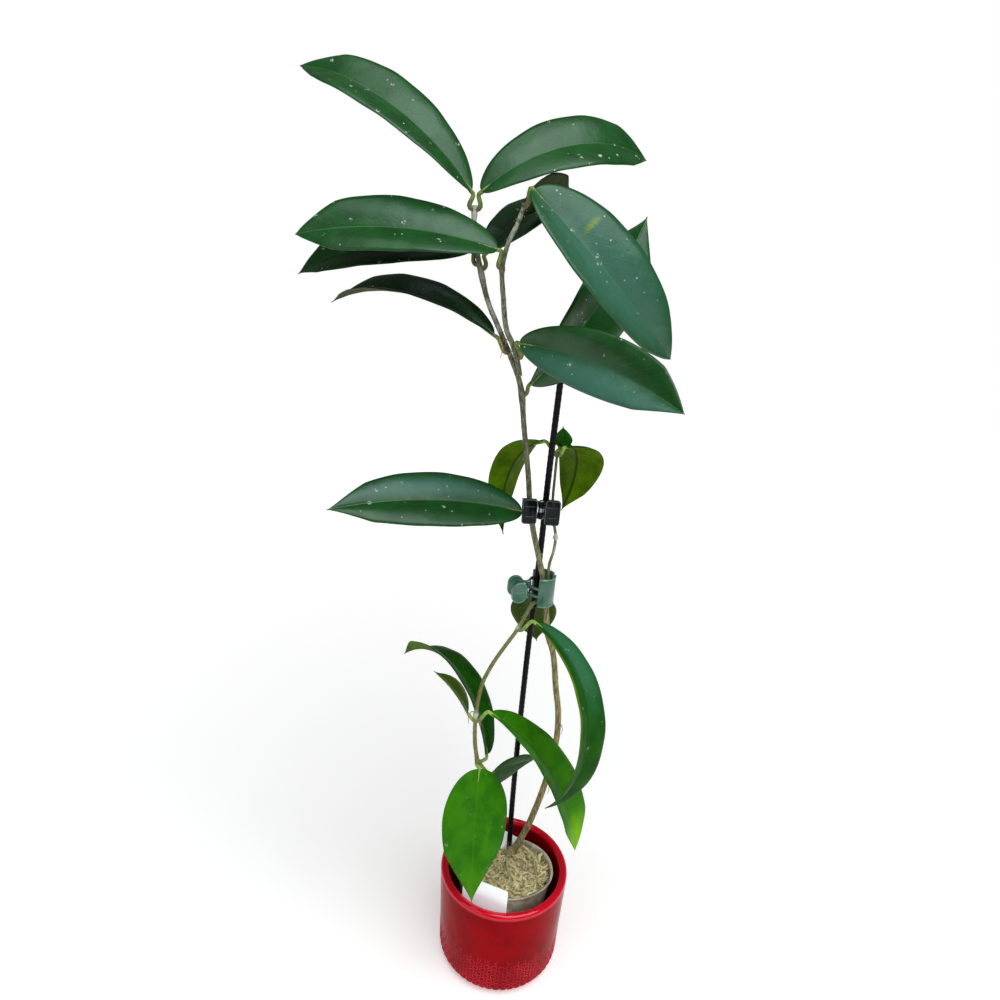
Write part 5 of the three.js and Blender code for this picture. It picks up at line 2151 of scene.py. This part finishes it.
    def pin_and_spring(self) -> None:
        """The pin with its domed heads, and the coil spring with its two legs."""
        radius, end = self.pin_radius, self.PIN_HALF
        wide = radius + self.HEAD
        upper = [[radius, end - 1], [wide, end - 1], [wide, end - 0.35], [radius + 0.3, end], [0.05, end]]
        lower = [[across, -up] for across, up in reversed(upper)]
        rings = lathe(filled(lower + upper, 1.5), 24)
        metal = [self.steel.material()]
        pin = Shell()
        pin.sheet(self.placed(rings))
        settle(pin.piece(f"{self.name}_round_pin", metal), [f"{self.name}_pin"])
        count = self.TURNS * self.TURN_POINTS + 1
        swing = np.linspace(0, self.TURNS * math.tau, count)
        around = self.spring_radius * np.stack([np.cos(swing), np.sin(swing)])
        coil = np.stack([*around, np.linspace(-1.7, 1.7, count)], 1)
        share = np.linspace(0.15, 1, 7)[:, None]
        leg = coil[-1] + share * np.array([[1.5, -4.4, 0.1]])
        spring = Shell()
        spring.tube(self.placed(np.concatenate([coil, leg])), self.wire * MM, 8)
        settle(spring.piece(f"{self.name}_coil", metal), [f"{self.name}_spring"])

    def build(self) -> None:
        """Builds the clip's jaws, trims, pin and spring."""
        for side, mirrored, body in (("moving", False, f"{self.name}_jaw"), ("fixed", True, "root")):
            node = f"{self.name}_{side}_jaw"
            settle(self.softened(node, f"{self.name}_{side}_claw"), [node], body)
            settle(self.trim(mirrored), body=body)
        self.pin_and_spring()


@dataclass
class Studio:
    """The camera, the pale floor and the soft lights."""

    eye: Point = (-0.0304, -0.5354, 0.6649)
    right: Point = (0.99708, 0.02639, 0.07166)
    up: Point = (-0.07637, 0.34449, 0.93566)
    ahead: Point = (0.0, 0.9384, -0.3455)
    lens: float = 26.37
    sensor: float = 36.0
    floor_reach: float = 3.0
    floor_drop: float = 0.0002
    middle: Point = (-0.02, 0.0, 0.45)
    ambient: float = 0.13
    daylight: Point = (0.85, 0.97, 0.99)
    floor: Finish = Backdrop()

    def camera(self) -> None:
        """Stands the camera where the photo was taken."""
        lens = bpy.data.cameras.new("camera")
        lens.lens = self.lens
        lens.sensor_width = self.sensor
        lens.clip_start = 0.01
        view = bpy.data.objects.new("camera", lens)
        back = tuple(-value for value in self.ahead)
        axes = Matrix((self.right, self.up, back)).transposed().to_4x4()
        view.matrix_world = Matrix.Translation(self.eye) @ axes
        bpy.context.scene.collection.objects.link(view)
        bpy.context.scene.camera = view

    def light(self, name: str, place: Point, size: float, power: float) -> None:
        """Adds a square soft light that faces the middle of the plant.

        Args:
            name: Its name.
            place: Where it hangs, in metres.
            size: Its width in metres.
            power: Its power in watts.
        """
        lamp = bpy.data.lights.new(name, "AREA")
        lamp.size = size
        lamp.energy = power
        lamp.color = self.daylight
        stand = bpy.data.objects.new(name, lamp)
        way = Vector(self.middle) - Vector(place)
        turned = way.to_track_quat("-Z", "Y").to_matrix().to_4x4()
        stand.matrix_world = Matrix.Translation(place) @ turned
        bpy.context.scene.collection.objects.link(stand)

    def build(self) -> None:
        """Sets up the camera, the floor, the lights and the white surroundings."""
        self.camera()
        reach, low = self.floor_reach, -self.floor_drop
        shell = Shell()
        corners = [(-reach, -reach, low), (reach, -reach, low), (reach, reach, low), (-reach, reach, low)]
        shell.gather(np.array(corners), [(0, 1, 2, 3)])
        shell.piece("studio_floor", [self.floor.material()])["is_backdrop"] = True
        self.light("key", place=(0.55, -0.75, 1.75), size=1.5, power=26.0)
        self.light("overhead", place=(-0.15, -0.25, 1.6), size=1.0, power=6.0)
        self.light("fill", place=(-1.3, -1.2, 1.1), size=1.2, power=5.0)
        world = bpy.data.worlds.new("white surroundings")
        world.use_nodes = True
        sheet = NodeSheet(world.node_tree)
        seen = sheet.add("ShaderNodeLightPath", output="Is Camera Ray")
        backing = world.node_tree.nodes["Background"]
        backing.inputs["Color"].default_value = (1.0, 1.0, 1.0, 1.0)
        strength = self.ambient + seen * (1.0 - self.ambient)
        world.node_tree.links.new(strength.socket, backing.inputs["Strength"])
        bpy.context.scene.world = world
        bpy.context.scene.view_settings.view_transform = "Standard"


BLACK_CLIP = ClawClip(
    name="black_clip", pin=(2.8, 12.3, 457.5), heading=90, ring=13.4, height=13, plate_from=-42, plate_to=80,
    tab=FingerTab(reach=(11.3, -5.6), turned=0, width=7.6, height=21, round=2.6, ribs=(-0.2, 0.2), inner=4.6),
    slot=Slot.BLACK_CLIP,
    finish=Moulded("black clip", srgb(3, 8, 9), srgb(8, 18, 20), roughness=0.12, coat=0.08, grain=0.002),
    painted_edge_highlight=Moulded(
        "black clip painted edge highlight", srgb(20, 42, 46), srgb(70, 104, 106), roughness=0.16, coat=0.5, grain=0.002,
        specular=0.4,
    ),
    slope=0.34,
)
GREEN_CLIP = ClawClip(
    name="green_clip", pin=(-1, 23.6, 381), heading=15, ring=9.8, height=25, plate_from=-30, plate_to=80,
    tab=FingerTab(reach=(6.8, -9.4), turned=-86, width=13.6, height=19, round=6.6, ribs=(0.0,)),
    slot=Slot.GREEN_CLIP,
    finish=Moulded(
        "green clip", srgb(58, 98, 80), srgb(78, 120, 100), roughness=0.2, coat=0.4, grain=0.002,
        specular=0.3,
    ),
    painted_edge_highlight=Moulded(
        "green clip painted edge highlight", srgb(86, 132, 112), srgb(150, 188, 168), roughness=0.2, coat=0.4, grain=0.002,
        specular=0.3,
    ),
)


def main() -> None:
    """Builds every piece of the plant in order."""
    Studio().build()
    CachePot().build()
    NurseryPot().build()
    Tags().build()
    Stake().build()
    stems = Stems()
    stems.build()
    for clip in (BLACK_CLIP, GREEN_CLIP):
        clip.build()
    middles = stems.middles()
    for number, leaf in enumerate(LEAVES, 1):
        leaf.build(number, middles)


def write_sizes() -> None:
    boxes = {"cad": CAD_BOX, "visual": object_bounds()}
    boxes = {name: [list(corner) for corner in box] for name, box in boxes.items()}


if __name__ == "__main__":
    logging.basicConfig(level=logging.INFO, format="%(message)s")
    main()
    write_sizes()
